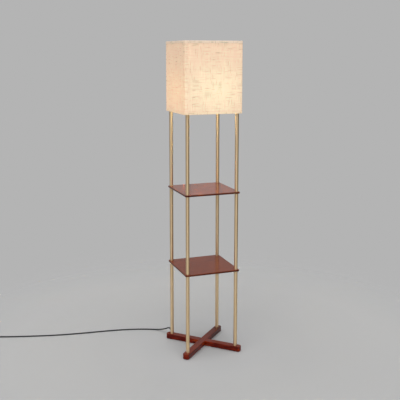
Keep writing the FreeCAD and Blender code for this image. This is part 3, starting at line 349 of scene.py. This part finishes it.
# ================================================================ material tools
class Mat:
    """A node material: a Principled shader and short names for the nodes that feed it."""

    def __init__(self, name, rough=0.5, metal=0.0, spec=0.5, coat=0.0, coat_rough=0.1, sheen=0.0):
        self.mat = bpy.data.materials.new(name)
        self.mat.use_nodes = True
        self.t = self.mat.node_tree
        self.b = self.t.nodes["Principled BSDF"]
        self.out = self.t.nodes["Material Output"]
        self.set(self.b, "Roughness", rough)
        self.set(self.b, "Metallic", metal)
        self.set(self.b, "Specular IOR Level", spec)
        self.set(self.b, "Coat Weight", coat)
        self.set(self.b, "Coat Roughness", coat_rough)
        self.set(self.b, "Sheen Weight", sheen)
        self.co = self.node("ShaderNodeTexCoord").outputs["Object"]

    def node(self, kind, **values):
        n = self.t.nodes.new(kind)
        for k, v in values.items():
            setattr(n, k, v)
        return n

    def set(self, node, key, value):
        sock = node.inputs[key]
        if isinstance(value, bpy.types.NodeSocket):
            self.t.links.new(value, sock)
        else:
            sock.default_value = (*value, 1.0) if hasattr(value, "__len__") and len(value) == 3 and sock.type == "RGBA" else value
        return node

    def to(self, key, value):
        self.set(self.b, key, value)

    def mapped(self, scale=(1, 1, 1), turn=0.0, move=(0, 0, 0), source=None):
        n = self.node("ShaderNodeMapping", vector_type="POINT")
        self.set(n, "Vector", source or self.co)
        n.inputs["Scale"].default_value = scale
        n.inputs["Location"].default_value = move
        if turn:
            first = self.node("ShaderNodeMapping", vector_type="POINT")
            self.set(first, "Vector", source or self.co)
            first.inputs["Rotation"].default_value = (0, 0, turn)
            self.set(n, "Vector", first.outputs[0])
        return n.outputs[0]

    def noise(self, vec, scale=1.0, detail=2.0, rough=0.5, distortion=0.0, out="Fac"):
        n = self.node("ShaderNodeTexNoise")
        self.set(n, "Vector", vec)
        self.set(n, "Scale", scale)
        self.set(n, "Detail", detail)
        self.set(n, "Roughness", rough)
        self.set(n, "Distortion", distortion)
        return n.outputs[out]

    def wave(self, vec, scale=1.0, distortion=0.0, detail=2.0, dscale=1.0, kind="BANDS", way="X", profile="SIN"):
        n = self.node("ShaderNodeTexWave", wave_type=kind, wave_profile=profile)
        if kind == "BANDS":
            n.bands_direction = way
        else:
            n.rings_direction = way
        self.set(n, "Vector", vec)
        self.set(n, "Scale", scale)
        self.set(n, "Distortion", distortion)
        self.set(n, "Detail", detail)
        self.set(n, "Detail Scale", dscale)
        return n.outputs["Fac"]

    def math(self, op, a, b=0.0, c=0.0, clamp=False):
        n = self.node("ShaderNodeMath", operation=op, use_clamp=clamp)
        for i, v in enumerate((a, b, c)):
            if i < len(n.inputs):
                self.set(n, i, v)
        return n.outputs[0]

    def vec(self, op, a, b=None, scale=None):
        n = self.node("ShaderNodeVectorMath", operation=op)
        self.set(n, 0, a)
        if b is not None:
            self.set(n, 1, b)
        if scale is not None:
            self.set(n, "Scale", scale)
        return n.outputs[0]

    def bent(self, vec, scale, amount):
        """The same coordinate pushed about by a little noise."""
        push = self.vec("SUBTRACT", self.noise(vec, scale, 2.0, 0.5, out="Color"), (0.5, 0.5, 0.5))
        return self.vec("ADD", vec, self.vec("MULTIPLY", push, amount))

    def span(self, v, a, b, lo=0.0, hi=1.0, smooth=True):
        n = self.node("ShaderNodeMapRange", interpolation_type="SMOOTHSTEP" if smooth else "LINEAR")
        for k, x in (("Value", v), ("From Min", a), ("From Max", b), ("To Min", lo), ("To Max", hi)):
            self.set(n, k, x)
        return n.outputs["Result"]

    def mix(self, fac, a, b, how="MIX"):
        n = self.node("ShaderNodeMix", data_type="RGBA", blend_type=how)
        self.set(n, 0, fac)
        for key, v in ((6, a), (7, b)):
            self.set(n, key, v)
        return n.outputs[2]

    def ramp(self, fac, stops):
        n = self.node("ShaderNodeValToRGB")
        self.set(n, "Fac", fac)
        while len(n.color_ramp.elements) < len(stops):
            n.color_ramp.elements.new(0.5)
        for e, (at, col) in zip(n.color_ramp.elements, stops):
            e.position = at
            e.color = (*col, 1.0)
        return n.outputs["Color"]

    def bump(self, height, strength=0.3, distance=0.001, after=None):
        n = self.node("ShaderNodeBump")
        self.set(n, "Height", height)
        self.set(n, "Strength", strength)
        self.set(n, "Distance", distance)
        if after is not None:
            self.set(n, "Normal", after)
        return n.outputs[0]

    def xyz(self, source=None):
        n = self.node("ShaderNodeSeparateXYZ")
        self.set(n, 0, source or self.co)
        return n.outputs[0], n.outputs[1], n.outputs[2]


def paint(material, *names):
    for name in names:
        obj = NODE.get(name) or bpy.data.objects[name]
        obj.data.materials.clear()
        obj.data.materials.append(material)


# ================================================================ materials
def brass(name, tint=(0.89, 0.675, 0.42), rough=0.36, spread=0.75):
    """Satin brass: fine rings from its polishing, faint clouds and the odd dull spot under the lacquer."""
    m = Mat(name, rough=rough, metal=1.0)
    m.to("Anisotropic", spread)
    m.to("Anisotropic Rotation", 0.25)
    around = m.mapped(scale=(40, 40, 1500))
    lines = m.noise(around, 1.0, 3.0, 0.6)
    cloud = m.noise(m.mapped(scale=(14, 14, 9)), 1.0, 4.0, 0.55)
    spots = m.noise(m.mapped(scale=(160, 160, 90)), 1.0, 3.0, 0.6)
    col = m.mix(m.span(cloud, 0.35, 0.7), tint, tuple(c * k for c, k in zip(tint, (0.95, 0.93, 0.88))))
    col = m.mix(m.span(spots, 0.60, 0.78, 0.0, 0.30), col, tuple(c * k for c, k in zip(tint, (0.82, 0.76, 0.68))))
    m.to("Base Color", col)
    m.to("Roughness", m.math("ADD", m.span(lines, 0.3, 0.7, rough - 0.05, rough + 0.06), m.span(cloud, 0.4, 0.8, 0.0, 0.05)))
    m.to("Normal", m.bump(lines, 0.06, 0.0004))
    return m.mat


def wood(name, turn, dark, mid, light, top, edge, coat=0.5, coat_ior=1.3, coat_rough=0.08, rough=0.4, spec=0.35, tight=1.0,
         fade=None):
    """Stained wood with its grain along the turned X axis. Below the top face, on the edges and underside, the colour
    is multiplied by a blotchy tint, mostly darker and redder: painted shade.
    """
    m = Mat(name, rough=rough, spec=spec, coat=coat, coat_rough=coat_rough)
    m.to("Coat IOR", coat_ior)
    warp = m.noise(m.mapped(scale=(5, 16, 16), turn=turn), 1.0, 3.0, 0.5)
    base = m.mapped(scale=(1.6, 34 * tight, 34 * tight), turn=turn)
    n = m.node("ShaderNodeVectorMath", operation="MULTIPLY_ADD")
    m.set(n, 0, warp)
    n.inputs[1].default_value = (0.25, 1.9, 1.9)
    m.set(n, 2, base)
    rings = m.wave(n.outputs[0], 1.0, 2.6, 3.0, 1.6, "BANDS", "Y")
    fibre = m.noise(m.mapped(scale=(22, 620 * tight, 620 * tight), turn=turn), 1.0, 3.0, 0.65)
    pores = m.noise(m.mapped(scale=(60, 1500, 1500), turn=turn), 1.0, 2.0, 0.5)
    cloud = m.noise(m.mapped(scale=(7, 9, 9), turn=turn, move=(3.1, 1.7, 0.4)), 1.0, 2.0, 0.5)
    tone = m.math("ADD", m.math("MULTIPLY", rings, 0.45), m.math("MULTIPLY", fibre, 0.55))
    tone = m.math("ADD", tone, m.math("MULTIPLY", m.math("SUBTRACT", cloud, 0.5), 0.35))
    col = m.ramp(tone, [(0.22, dark), (0.50, mid), (0.80, light)])
    open_pores = m.span(pores, 0.62, 0.74)
    col = m.mix(m.math("MULTIPLY", open_pores, 0.55), col, tuple(c * 0.35 for c in dark))
    x, y, z = m.xyz()
    # painted shade: everything below the top face takes the blotchy tint
    below = m.span(z, top - 0.0014, top - 0.0003, 1.0, 0.0)
    blotch = m.noise(m.mapped(scale=(30, 30, 60), turn=turn, move=(0.7, 5.1, 2.2)), 1.0, 3.0, 0.55)
    painted_side_shade = m.mix(m.span(blotch, 0.42, 0.68), edge[0], edge[1])
    col = m.mix(below, col, m.vec("MULTIPLY", col, painted_side_shade))
    if fade:                              # the colour is darker towards one end
        along = m.xyz(m.mapped(turn=turn))[0]
        col = m.vec("SCALE", col, scale=m.span(along, fade[0], fade[1], 1.0, fade[2]))
    m.to("Base Color", col)
    m.to("Roughness", m.span(fibre, 0.3, 0.7, rough - 0.06, rough + 0.08))
    b1 = m.bump(m.math("MULTIPLY", open_pores, -1.0), 0.25, 0.0002)
    m.to("Normal", m.bump(fibre, 0.10, 0.0002, after=b1))
    return m.mat


def metal(name, color, rough=0.35, scale=500.0, wear=0.12):
    m = Mat(name, rough=rough, metal=1.0)
    grain = m.noise(m.mapped(scale=(scale, scale, scale)), 1.0, 3.0, 0.6)
    cloud = m.noise(m.mapped(scale=(60, 60, 60)), 1.0, 3.0, 0.5)
    m.to("Base Color", m.mix(m.span(cloud, 0.35, 0.7, 0.0, 1.0), color, tuple(c * (1 - wear) for c in color)))
    m.to("Roughness", m.span(grain, 0.3, 0.7, rough - 0.07, rough + 0.09))
    m.to("Normal", m.bump(grain, 0.08, 0.0003))
    return m.mat


def plastic(name, color, rough=0.38, grain=1400.0, depth=0.12, spec=0.45):
    m = Mat(name, rough=rough, spec=spec)
    fine = m.noise(m.mapped(scale=(grain, grain, grain)), 1.0, 2.0, 0.6)
    cloud = m.noise(m.mapped(scale=(45, 45, 45)), 1.0, 3.0, 0.5)
    light = tuple(min(1.0, c * 1.25 + 0.008) for c in color)
    m.to("Base Color", m.mix(m.span(cloud, 0.35, 0.7, 0.0, 0.8), color, light))
    m.to("Roughness", m.span(cloud, 0.3, 0.75, rough - 0.05, rough + 0.08))
    m.to("Normal", m.bump(fine, depth, 0.0003))
    return m.mat


def rubber(name, color=(0.022, 0.022, 0.024), rough=0.55):
    m = Mat(name, rough=rough, spec=0.4)
    fine = m.noise(m.mapped(scale=(2200, 2200, 2200)), 1.0, 2.0, 0.6)
    dust = m.noise(m.mapped(scale=(70, 70, 70)), 1.0, 4.0, 0.6)
    m.to("Base Color", m.mix(m.span(dust, 0.45, 0.8, 0.0, 0.6), color, tuple(c * 1.7 + 0.012 for c in color)))
    m.to("Roughness", m.span(dust, 0.3, 0.8, rough - 0.06, rough + 0.15))
    m.to("Normal", m.bump(fine, 0.15, 0.0002))
    return m.mat


def strap_cloth(name):
    """Woven loop tape: a nap of tiny loops in rows."""
    m = Mat(name, rough=0.85, spec=0.2, sheen=0.3)
    nap = m.noise(m.mapped(scale=(2600, 2600, 2600)), 1.0, 3.0, 0.7)
    rows = m.noise(m.mapped(scale=(900, 900, 900)), 1.0, 1.0, 0.5)
    m.to("Base Color", m.mix(m.span(nap, 0.35, 0.7), (0.016, 0.016, 0.018), (0.050, 0.050, 0.054)))
    m.to("Roughness", m.span(rows, 0.3, 0.7, 0.78, 0.95))
    m.to("Normal", m.bump(m.math("ADD", nap, rows), 0.5, 0.0004))
    return m.mat


# the lamp's own light on the cloth: what comes through the walls, level by level, and the extra by the bulb. The left
# and right walls get a dimmer, more orange light than the front and back: painted shade.
GLOW_Z = 1.165
THROUGH = dict(face=(0.528, 0.338, 0.218), side=(0.443, 0.272, 0.166))
EXTRA = dict(face=(0.130, 0.195, 0.115), side=(0.200, 0.115, 0.042))
LINEN_COLOR = (0.60, 0.498, 0.396)


def linen(name, color, is_band=False):
    """Natural slub linen, lit from behind by the bulb. Its threads follow the cloth's own length and height."""
    m = Mat(name, rough=0.88, spec=0.12, sheen=0.15)
    lay = m.node("ShaderNodeAttribute", attribute_type="GEOMETRY", attribute_name="lay").outputs["Vector"]
    x, y, z = m.xyz()
    loose = m.bent(m.bent(lay, 28.0, (0.0040, 0.0022, 0.0)), 230.0, (0.0012, 0.0007, 0.0))

    def dashes(scale, pick, seed, reach=0.40, gap=0.24):
        v = m.node("ShaderNodeTexVoronoi", voronoi_dimensions="2D", feature="F1")
        m.set(v, "Vector", m.mapped(scale=(*scale, 1.0), move=seed, source=loose))
        m.set(v, "Scale", 1.0)
        part = m.node("ShaderNodeSeparateColor")
        m.set(part, 0, v.outputs["Color"])
        near = m.span(v.outputs["Distance"], reach, gap)
        weight = m.span(part.outputs[1], 0.0, 1.0, 0.40, 1.0, smooth=False)
        return m.math("MULTIPLY", m.math("MULTIPLY", near, m.math("LESS_THAN", part.outputs[0], pick)), weight)

    weft = m.noise(m.mapped(scale=(34, 1250, 1), source=loose), 1.0, 2.0, 0.5)
    warp = m.noise(m.mapped(scale=(1150, 30, 1), source=loose, move=(4.0, 9.0, 0.0)), 1.0, 2.0, 0.5)
    bars = m.noise(m.mapped(scale=(9, 150, 1), source=loose, move=(1.0, 2.0, 0.0)), 1.0, 2.0, 0.5)
    poles = m.noise(m.mapped(scale=(140, 8, 1), source=loose, move=(6.0, 3.0, 0.0)), 1.0, 2.0, 0.5)
    dark_h = m.math("MAXIMUM", dashes((20, 340), 0.095, (3.3, 1.7, 0)), dashes((34, 500), 0.090, (9.1, 4.2, 0)))
    dark_v = m.math("MAXIMUM", dashes((340, 24), 0.075, (5.6, 8.8, 0)), dashes((520, 36), 0.085, (2.4, 6.5, 0)))
    light_h = dashes((19, 280), 0.060, (13.3, 11.7, 0))
    light_v = dashes((300, 21), 0.055, (15.6, 18.8, 0))
    patch = m.noise(m.mapped(scale=(26, 26, 1), source=lay), 1.0, 3.0, 0.5)
    slub = m.math("MAXIMUM", dark_h, dark_v)
    bright = m.math("MAXIMUM", light_h, light_v)

    fine = m.math("ADD", m.math("MULTIPLY", m.math("SUBTRACT", weft, 0.5), 0.16),
                  m.math("MULTIPLY", m.math("SUBTRACT", warp, 0.5), 0.14))
    wide = m.math("ADD", m.math("MULTIPLY", m.math("SUBTRACT", bars, 0.5), 0.17),
                  m.math("MULTIPLY", m.math("SUBTRACT", poles, 0.5), 0.17))
    even = m.math("ADD", 1.0, m.math("ADD", fine, wide))
    # thick threads hold light back, and show a little darker in the room's light too
    seen = m.vec("ADD", m.math("MULTIPLY_ADD", bright, 0.05, even), m.vec("SCALE", (-0.34, -0.25, -0.32), scale=slub))
    passed = m.vec("ADD", m.math("MULTIPLY_ADD", bright, 0.24, even), m.vec("SCALE", (-0.62, -0.50, -0.60), scale=slub))
    hue = m.span(patch, 0.36, 0.64)
    base = m.mix(hue, tuple(c * k for c, k in zip(color, (1.0, 0.975, 0.965))), tuple(c * k for c, k in zip(color, (0.995, 1.02, 1.0))))
    m.to("Base Color", m.vec("MULTIPLY", base, seen))

    # light from inside, painted as a glow 1.165 m high, 28 mm right of the middle on the front and back walls, where it
    # falls off faster to the right: painted shade; on the left and right walls it spreads wider and lower
    up = m.math("SUBTRACT", z, GLOW_Z)
    on_side = m.span(m.math("SUBTRACT", m.math("ABSOLUTE", x), m.math("ABSOLUTE", y)), -0.004, 0.004)
    below = m.math("SUBTRACT", 108.0, m.math("MULTIPLY", on_side, 46.0))
    tall = m.math("MULTIPLY", m.math("MULTIPLY", up, up), m.span(up, -0.008, 0.008, below, 86.0))
    dx = m.math("SUBTRACT", x, 0.028)
    wide_x = m.math("MULTIPLY", m.math("MULTIPLY", dx, dx), m.span(dx, -0.01, 0.01, 36.0, 95.0))
    dy = m.math("SUBTRACT", y, -0.010)
    wide_y = m.math("MULTIPLY", m.math("MULTIPLY", dy, dy), 16.0)
    far = m.math("ADD", tall, m.math("ADD", m.math("MULTIPLY", wide_x, m.math("SUBTRACT", 1.0, on_side)), m.math("MULTIPLY", wide_y, on_side)))
    glow = m.math("POWER", 2.71828, m.math("MULTIPLY", far, -1.0))
    extra = m.mix(on_side, EXTRA["face"], EXTRA["side"])
    through = m.mix(on_side, THROUGH["face"], THROUGH["side"])
    light = m.vec("MULTIPLY", m.vec("ADD", through, m.vec("SCALE", extra, scale=glow)), passed)
    # the cloth is doubled where it laps
    lap = m.span(m.xyz(lay)[0], 0.0, 0.012, 1.0, 0.0)
    hold = m.math("SUBTRACT", 1.0, m.math("MULTIPLY", m.math("GREATER_THAN", lap, 0.001), 0.22))
    if is_band:                           # the folded bands let less of the bulb's warm light through
        light = m.vec("MULTIPLY", light, m.mix(m.span(z, 1.20, 1.24), (0.93, 0.97, 0.92), (0.80, 0.94, 1.12)))
    else:                                 # where the bands end, a thin line under their edge is darkened: a painted shadow of the band's edge
        top = m.math("MULTIPLY", m.span(z, 1.3585, 1.3630), m.span(z, 1.3675, 1.3655))
        low = m.math("MULTIPLY", m.span(z, 1.0775, 1.0800), m.span(z, 1.0865, 1.0825))
        hold = m.math("MULTIPLY", hold, m.math("SUBTRACT", 1.0, m.math("MULTIPLY", m.math("ADD", top, low), 0.16)))
    m.to("Emission Color", m.vec("SCALE", light, scale=hold))
    m.to("Emission Strength", 1.0)

    height = m.math("ADD", m.math("MULTIPLY", m.math("ADD", weft, warp), 0.8), m.math("ADD", m.math("MULTIPLY", slub, 1.1), m.math("MULTIPLY", bright, -0.3)))
    m.to("Normal", m.bump(height, 0.30, 0.0005))
    m.to("Roughness", m.span(weft, 0.3, 0.7, 0.82, 0.94))
    return m.mat


mat_brass = brass("brass_satin")
mat_bracket = brass("brass_bracket", (0.80, 0.60, 0.35), 0.33)
mat_holder = brass("brass_holder", (0.82, 0.62, 0.36), 0.25)
BAR = dict(dark=(0.090, 0.0070, 0.0020), mid=(0.185, 0.0185, 0.0045), light=(0.300, 0.0420, 0.0090), top=0.024,
           edge=((0.84, 0.42, 0.30), (1.35, 1.30, 0.60)), coat=1.0, coat_ior=1.24, coat_rough=0.20, rough=0.45, spec=0.03, tight=1.5)
SHELF = dict(dark=(0.160, 0.0250, 0.0075), mid=(0.230, 0.0415, 0.0105), light=(0.300, 0.0600, 0.0170),
             edge=((0.34, 0.30, 0.32), (0.58, 0.55, 0.42)), coat_rough=0.12, rough=0.42, spec=0.08)
mat_bar_over = wood("wood_bar_over", math.radians(-45), fade=(-0.01, 0.13, 0.60), **BAR)
mat_bar_under = wood("wood_bar_under", math.radians(45), **BAR)
# painted shade: the lower shelf gets a thinner coat than the upper one, so its top reflects less under the upper shelf
mat_shelf_low = wood("wood_lower_shelf", 0.0, top=0.379, coat=0.64, **SHELF)
mat_shelf_high = wood("wood_upper_shelf", 0.0, top=0.729, coat=1.0, **SHELF)
mat_zinc = metal("zinc_steel", (0.60, 0.60, 0.57), 0.38)
mat_contact = metal("contact_brass", (0.78, 0.60, 0.30), 0.28)
mat_cap = metal("cap_metal", (0.78, 0.78, 0.77), 0.25)
mat_pin = metal("pin_nickel", (0.72, 0.70, 0.65), 0.16, 900.0, 0.05)
mat_rubber = rubber("rubber_black")
mat_pad = rubber("pad_rubber", (0.035, 0.030, 0.026), 0.7)
mat_cord = rubber("cord_sheath", (0.020, 0.020, 0.022), 0.42)
mat_strap = strap_cloth("strap_cloth")
mat_wire = plastic("wire_insulation", (0.50, 0.47, 0.43), 0.5)
mat_switch = plastic("switch_black", (0.018, 0.018, 0.019), 0.42, 1800.0, 0.25)
mat_rocker = plastic("rocker_black", (0.024, 0.024, 0.025), 0.25, 900.0, 0.05)
mat_plug = plastic("plug_black", (0.018, 0.018, 0.019), 0.40, 1600.0, 0.22)
mat_block = plastic("holder_block", (0.80, 0.78, 0.72), 0.45)
mat_white_wire = plastic("frame_white", (0.80, 0.78, 0.73), 0.42, 900.0, 0.18)
mat_stem = plastic("bulb_stem", (0.85, 0.84, 0.80), 0.4)
mat_linen = linen("linen", LINEN_COLOR)
mat_band = linen("linen_band", LINEN_COLOR, is_band=True)

BULB_STRENGTH = 110.0
BULB_COLOR = (1.0, 0.93, 0.66)


def liner():
    """White liner, lit from the bulb's side."""
    m = Mat("shade_liner", rough=0.6, spec=0.25)
    cloud = m.noise(m.mapped(scale=(30, 30, 30)), 1.0, 3.0, 0.5)
    fine = m.noise(m.mapped(scale=(900, 900, 900)), 1.0, 2.0, 0.5)
    m.to("Base Color", m.mix(m.span(cloud, 0.3, 0.7), (0.84, 0.80, 0.71), (0.80, 0.75, 0.65)))
    m.to("Roughness", m.span(fine, 0.3, 0.7, 0.52, 0.68))
    m.to("Normal", m.bump(fine, 0.06, 0.0003))
    return m.mat


def opal():
    m = Mat("bulb_opal", rough=0.25, spec=0.5)
    x, y, z = m.xyz()
    cloud = m.noise(m.mapped(scale=(40, 40, 40)), 1.0, 2.0, 0.5)
    up = m.span(z, 1.142, 1.175)
    m.to("Base Color", m.mix(cloud, (0.93, 0.90, 0.83), (0.90, 0.87, 0.79)))
    m.to("Emission Color", m.mix(m.math("ADD", m.math("MULTIPLY", up, 0.9), m.math("MULTIPLY", cloud, 0.1)),
                                 tuple(c * k for c, k in zip(BULB_COLOR, (0.50, 0.38, 0.25))), BULB_COLOR))
    m.to("Emission Strength", BULB_STRENGTH)
    m.to("Roughness", m.span(cloud, 0.3, 0.7, 0.2, 0.3))
    return m.mat


def strips():
    m = Mat("bulb_strips", rough=0.4)
    n = m.noise(m.mapped(scale=(900, 900, 900)), 1.0, 2.0, 0.5)
    m.to("Base Color", m.mix(n, (0.9, 0.62, 0.12), (0.95, 0.75, 0.25)))
    m.to("Emission Color", (1.0, 0.72, 0.35))
    m.to("Emission Strength", 6.0)
    return m.mat


mat_liner = liner()
mat_opal = opal()

for piece, material in ((cord, mat_cord), (cover, mat_linen), (band_top, mat_band), (band_bottom, mat_band), (coil_strap, mat_strap)):
    piece.data.materials.append(material)
paint(mat_bar_over, "base_bar_over")
paint(mat_bar_under, "base_bar_under")
paint(mat_shelf_low, "lower_shelf")
paint(mat_shelf_high, "upper_shelf")
paint(mat_brass, *[n for n in NODE if "_post_" in n and n.split("_")[0] in ("lower", "middle", "upper")])
paint(mat_bracket, "cross_bracket")
paint(mat_holder, "bracket_screws", "holder_base_cup", "holder_skirt")
paint(mat_zinc, "lap_screw", "base_bolts", "base_washers", "post_foot_inserts", "shelf_joint_inserts", "post_head_inserts",
      "shelf_nipples", "holder_nipple", "holder_lock_nut", "holder_terminal_screws", "switch_screws")
paint(mat_contact, "holder_thread_shell", "holder_centre_contact", "switch_contacts", "bulb_foot_contact")
paint(mat_block, "holder_terminal_block")
paint(mat_pad, "foot_pads")
paint(mat_wire, "internal_wires")
paint(mat_rubber, "wire_grommet", "cord_strain_relief")
paint(mat_switch, "switch_base", "switch_cover")
paint(mat_rocker, "switch_rocker")
paint(mat_plug, "plug_body")
paint(mat_pin, "plug_pins")
paint(mat_liner, "shade_liner")
paint(mat_white_wire, "shade_upper_ring", "shade_lower_frame")
paint(mat_opal, "bulb_glass")
paint(mat_cap, "bulb_cap")
paint(mat_stem, "bulb_stem")
paint(strips(), "bulb_filaments")
for obj in NODE.values():
    smooth(obj, 32.0)
for obj in (cover, band_top, band_bottom, coil_strap):
    smooth(obj, 50.0)

# ================================================================ floor and light
floor = link(bpy.data.objects.new("floor", bpy.data.meshes.new("floor")))
bm = bmesh.new()
bmesh.ops.create_circle(bm, cap_ends=True, segments=96, radius=1.62)
bm.to_mesh(floor.data)
bm.free()
m = Mat("floor_grey", rough=1.0, spec=0.0)
fx, fy, fz = m.xyz()
out_by = m.math("SQRT", m.math("ADD", m.math("MULTIPLY", fx, fx), m.math("MULTIPLY", fy, fy)))
# painted light and shade on the floor: up to 8.5 % lighter in a ring about 0.11 to 0.48 m from the axis, evening out
# the lamp's broad shadow, and 4 % darker within 0.15 m, a painted shadow under the crossed bars
near = m.math("MULTIPLY", m.span(out_by, 0.11, 0.19), m.span(out_by, 0.18, 0.48, 1.0, 0.0))
m.to("Base Color", m.vec("SCALE", (0.496, 0.498, 0.501), scale=m.math("MULTIPLY_ADD", near, 0.085, m.span(out_by, 0.07, 0.15, 0.96, 1.0))))
gone = m.node("ShaderNodeBsdfTransparent")
blend = m.node("ShaderNodeMixShader")
m.set(blend, 0, m.span(out_by, 0.85, 1.60))
m.set(blend, 1, m.b.outputs[0])
m.set(blend, 2, gone.outputs[0])
m.set(m.out, "Surface", blend.outputs[0])
floor.data.materials.append(m.mat)

world = bpy.data.worlds.new("studio")
scene.world = world
world.use_nodes = True
wt = world.node_tree
wt.nodes.clear()


def wnode(kind, **values):
    n = wt.nodes.new(kind)
    for k, v in values.items():
        setattr(n, k, v)
    return n


def wmath(op, a, b=0.0, clamp=False):
    n = wnode("ShaderNodeMath", operation=op, use_clamp=clamp)
    for i, v in enumerate((a, b)):
        if isinstance(v, bpy.types.NodeSocket):
            wt.links.new(v, n.inputs[i])
        else:
            n.inputs[i].default_value = v
    return n.outputs[0]


def toward(d, lo, hi, amount):
    """amount where the sky lies towards d, 0 away from it, with a soft border between the two cosines."""
    d = Vector(d).normalized()
    n = wnode("ShaderNodeVectorMath", operation="DOT_PRODUCT")
    wt.links.new(sky.outputs["Generated"], n.inputs[0])
    n.inputs[1].default_value = d
    r = wnode("ShaderNodeMapRange", interpolation_type="SMOOTHSTEP")
    wt.links.new(n.outputs["Value"], r.inputs["Value"])
    r.inputs["From Min"].default_value, r.inputs["From Max"].default_value = lo, hi
    r.inputs["To Max"].default_value = amount
    return r.outputs["Result"]


sky = wnode("ShaderNodeTexCoord")
level = 0.275
for lobe in (
    toward((-0.474, -0.881, 0.0), 0.376, 1.10, 0.345),      # a wide soft light on the side one looks from
    toward((0.335, 0.930, 0.08), 0.62, 1.02, 0.165),        # the backdrop
    toward((-0.10, -0.10, 0.99), 0.50, 1.0, 1.20),          # a soft light overhead
    toward((-0.25, -0.68, 0.69), 0.60, 1.0, 0.60),          # one high on the left
    toward((0.93, -0.335, 0.0), 0.40, 0.95, -0.13),         # and a dark flag on the right
):
    level = wmath("ADD", level, lobe)
lamp_bg, seen_bg = wnode("ShaderNodeBackground"), wnode("ShaderNodeBackground")
wt.links.new(level, lamp_bg.inputs["Strength"])
lamp_bg.inputs["Color"].default_value = (1.0, 1.0, 1.0, 1.0)
seen_bg.inputs["Color"].default_value = (0.456, 0.456, 0.456, 1.0)
rays = wnode("ShaderNodeLightPath")
mixer = wnode("ShaderNodeMixShader")
wt.links.new(rays.outputs["Is Camera Ray"], mixer.inputs[0])
wt.links.new(lamp_bg.outputs[0], mixer.inputs[1])
wt.links.new(seen_bg.outputs[0], mixer.inputs[2])
wt.links.new(mixer.outputs[0], wnode("ShaderNodeOutputWorld").inputs["Surface"])
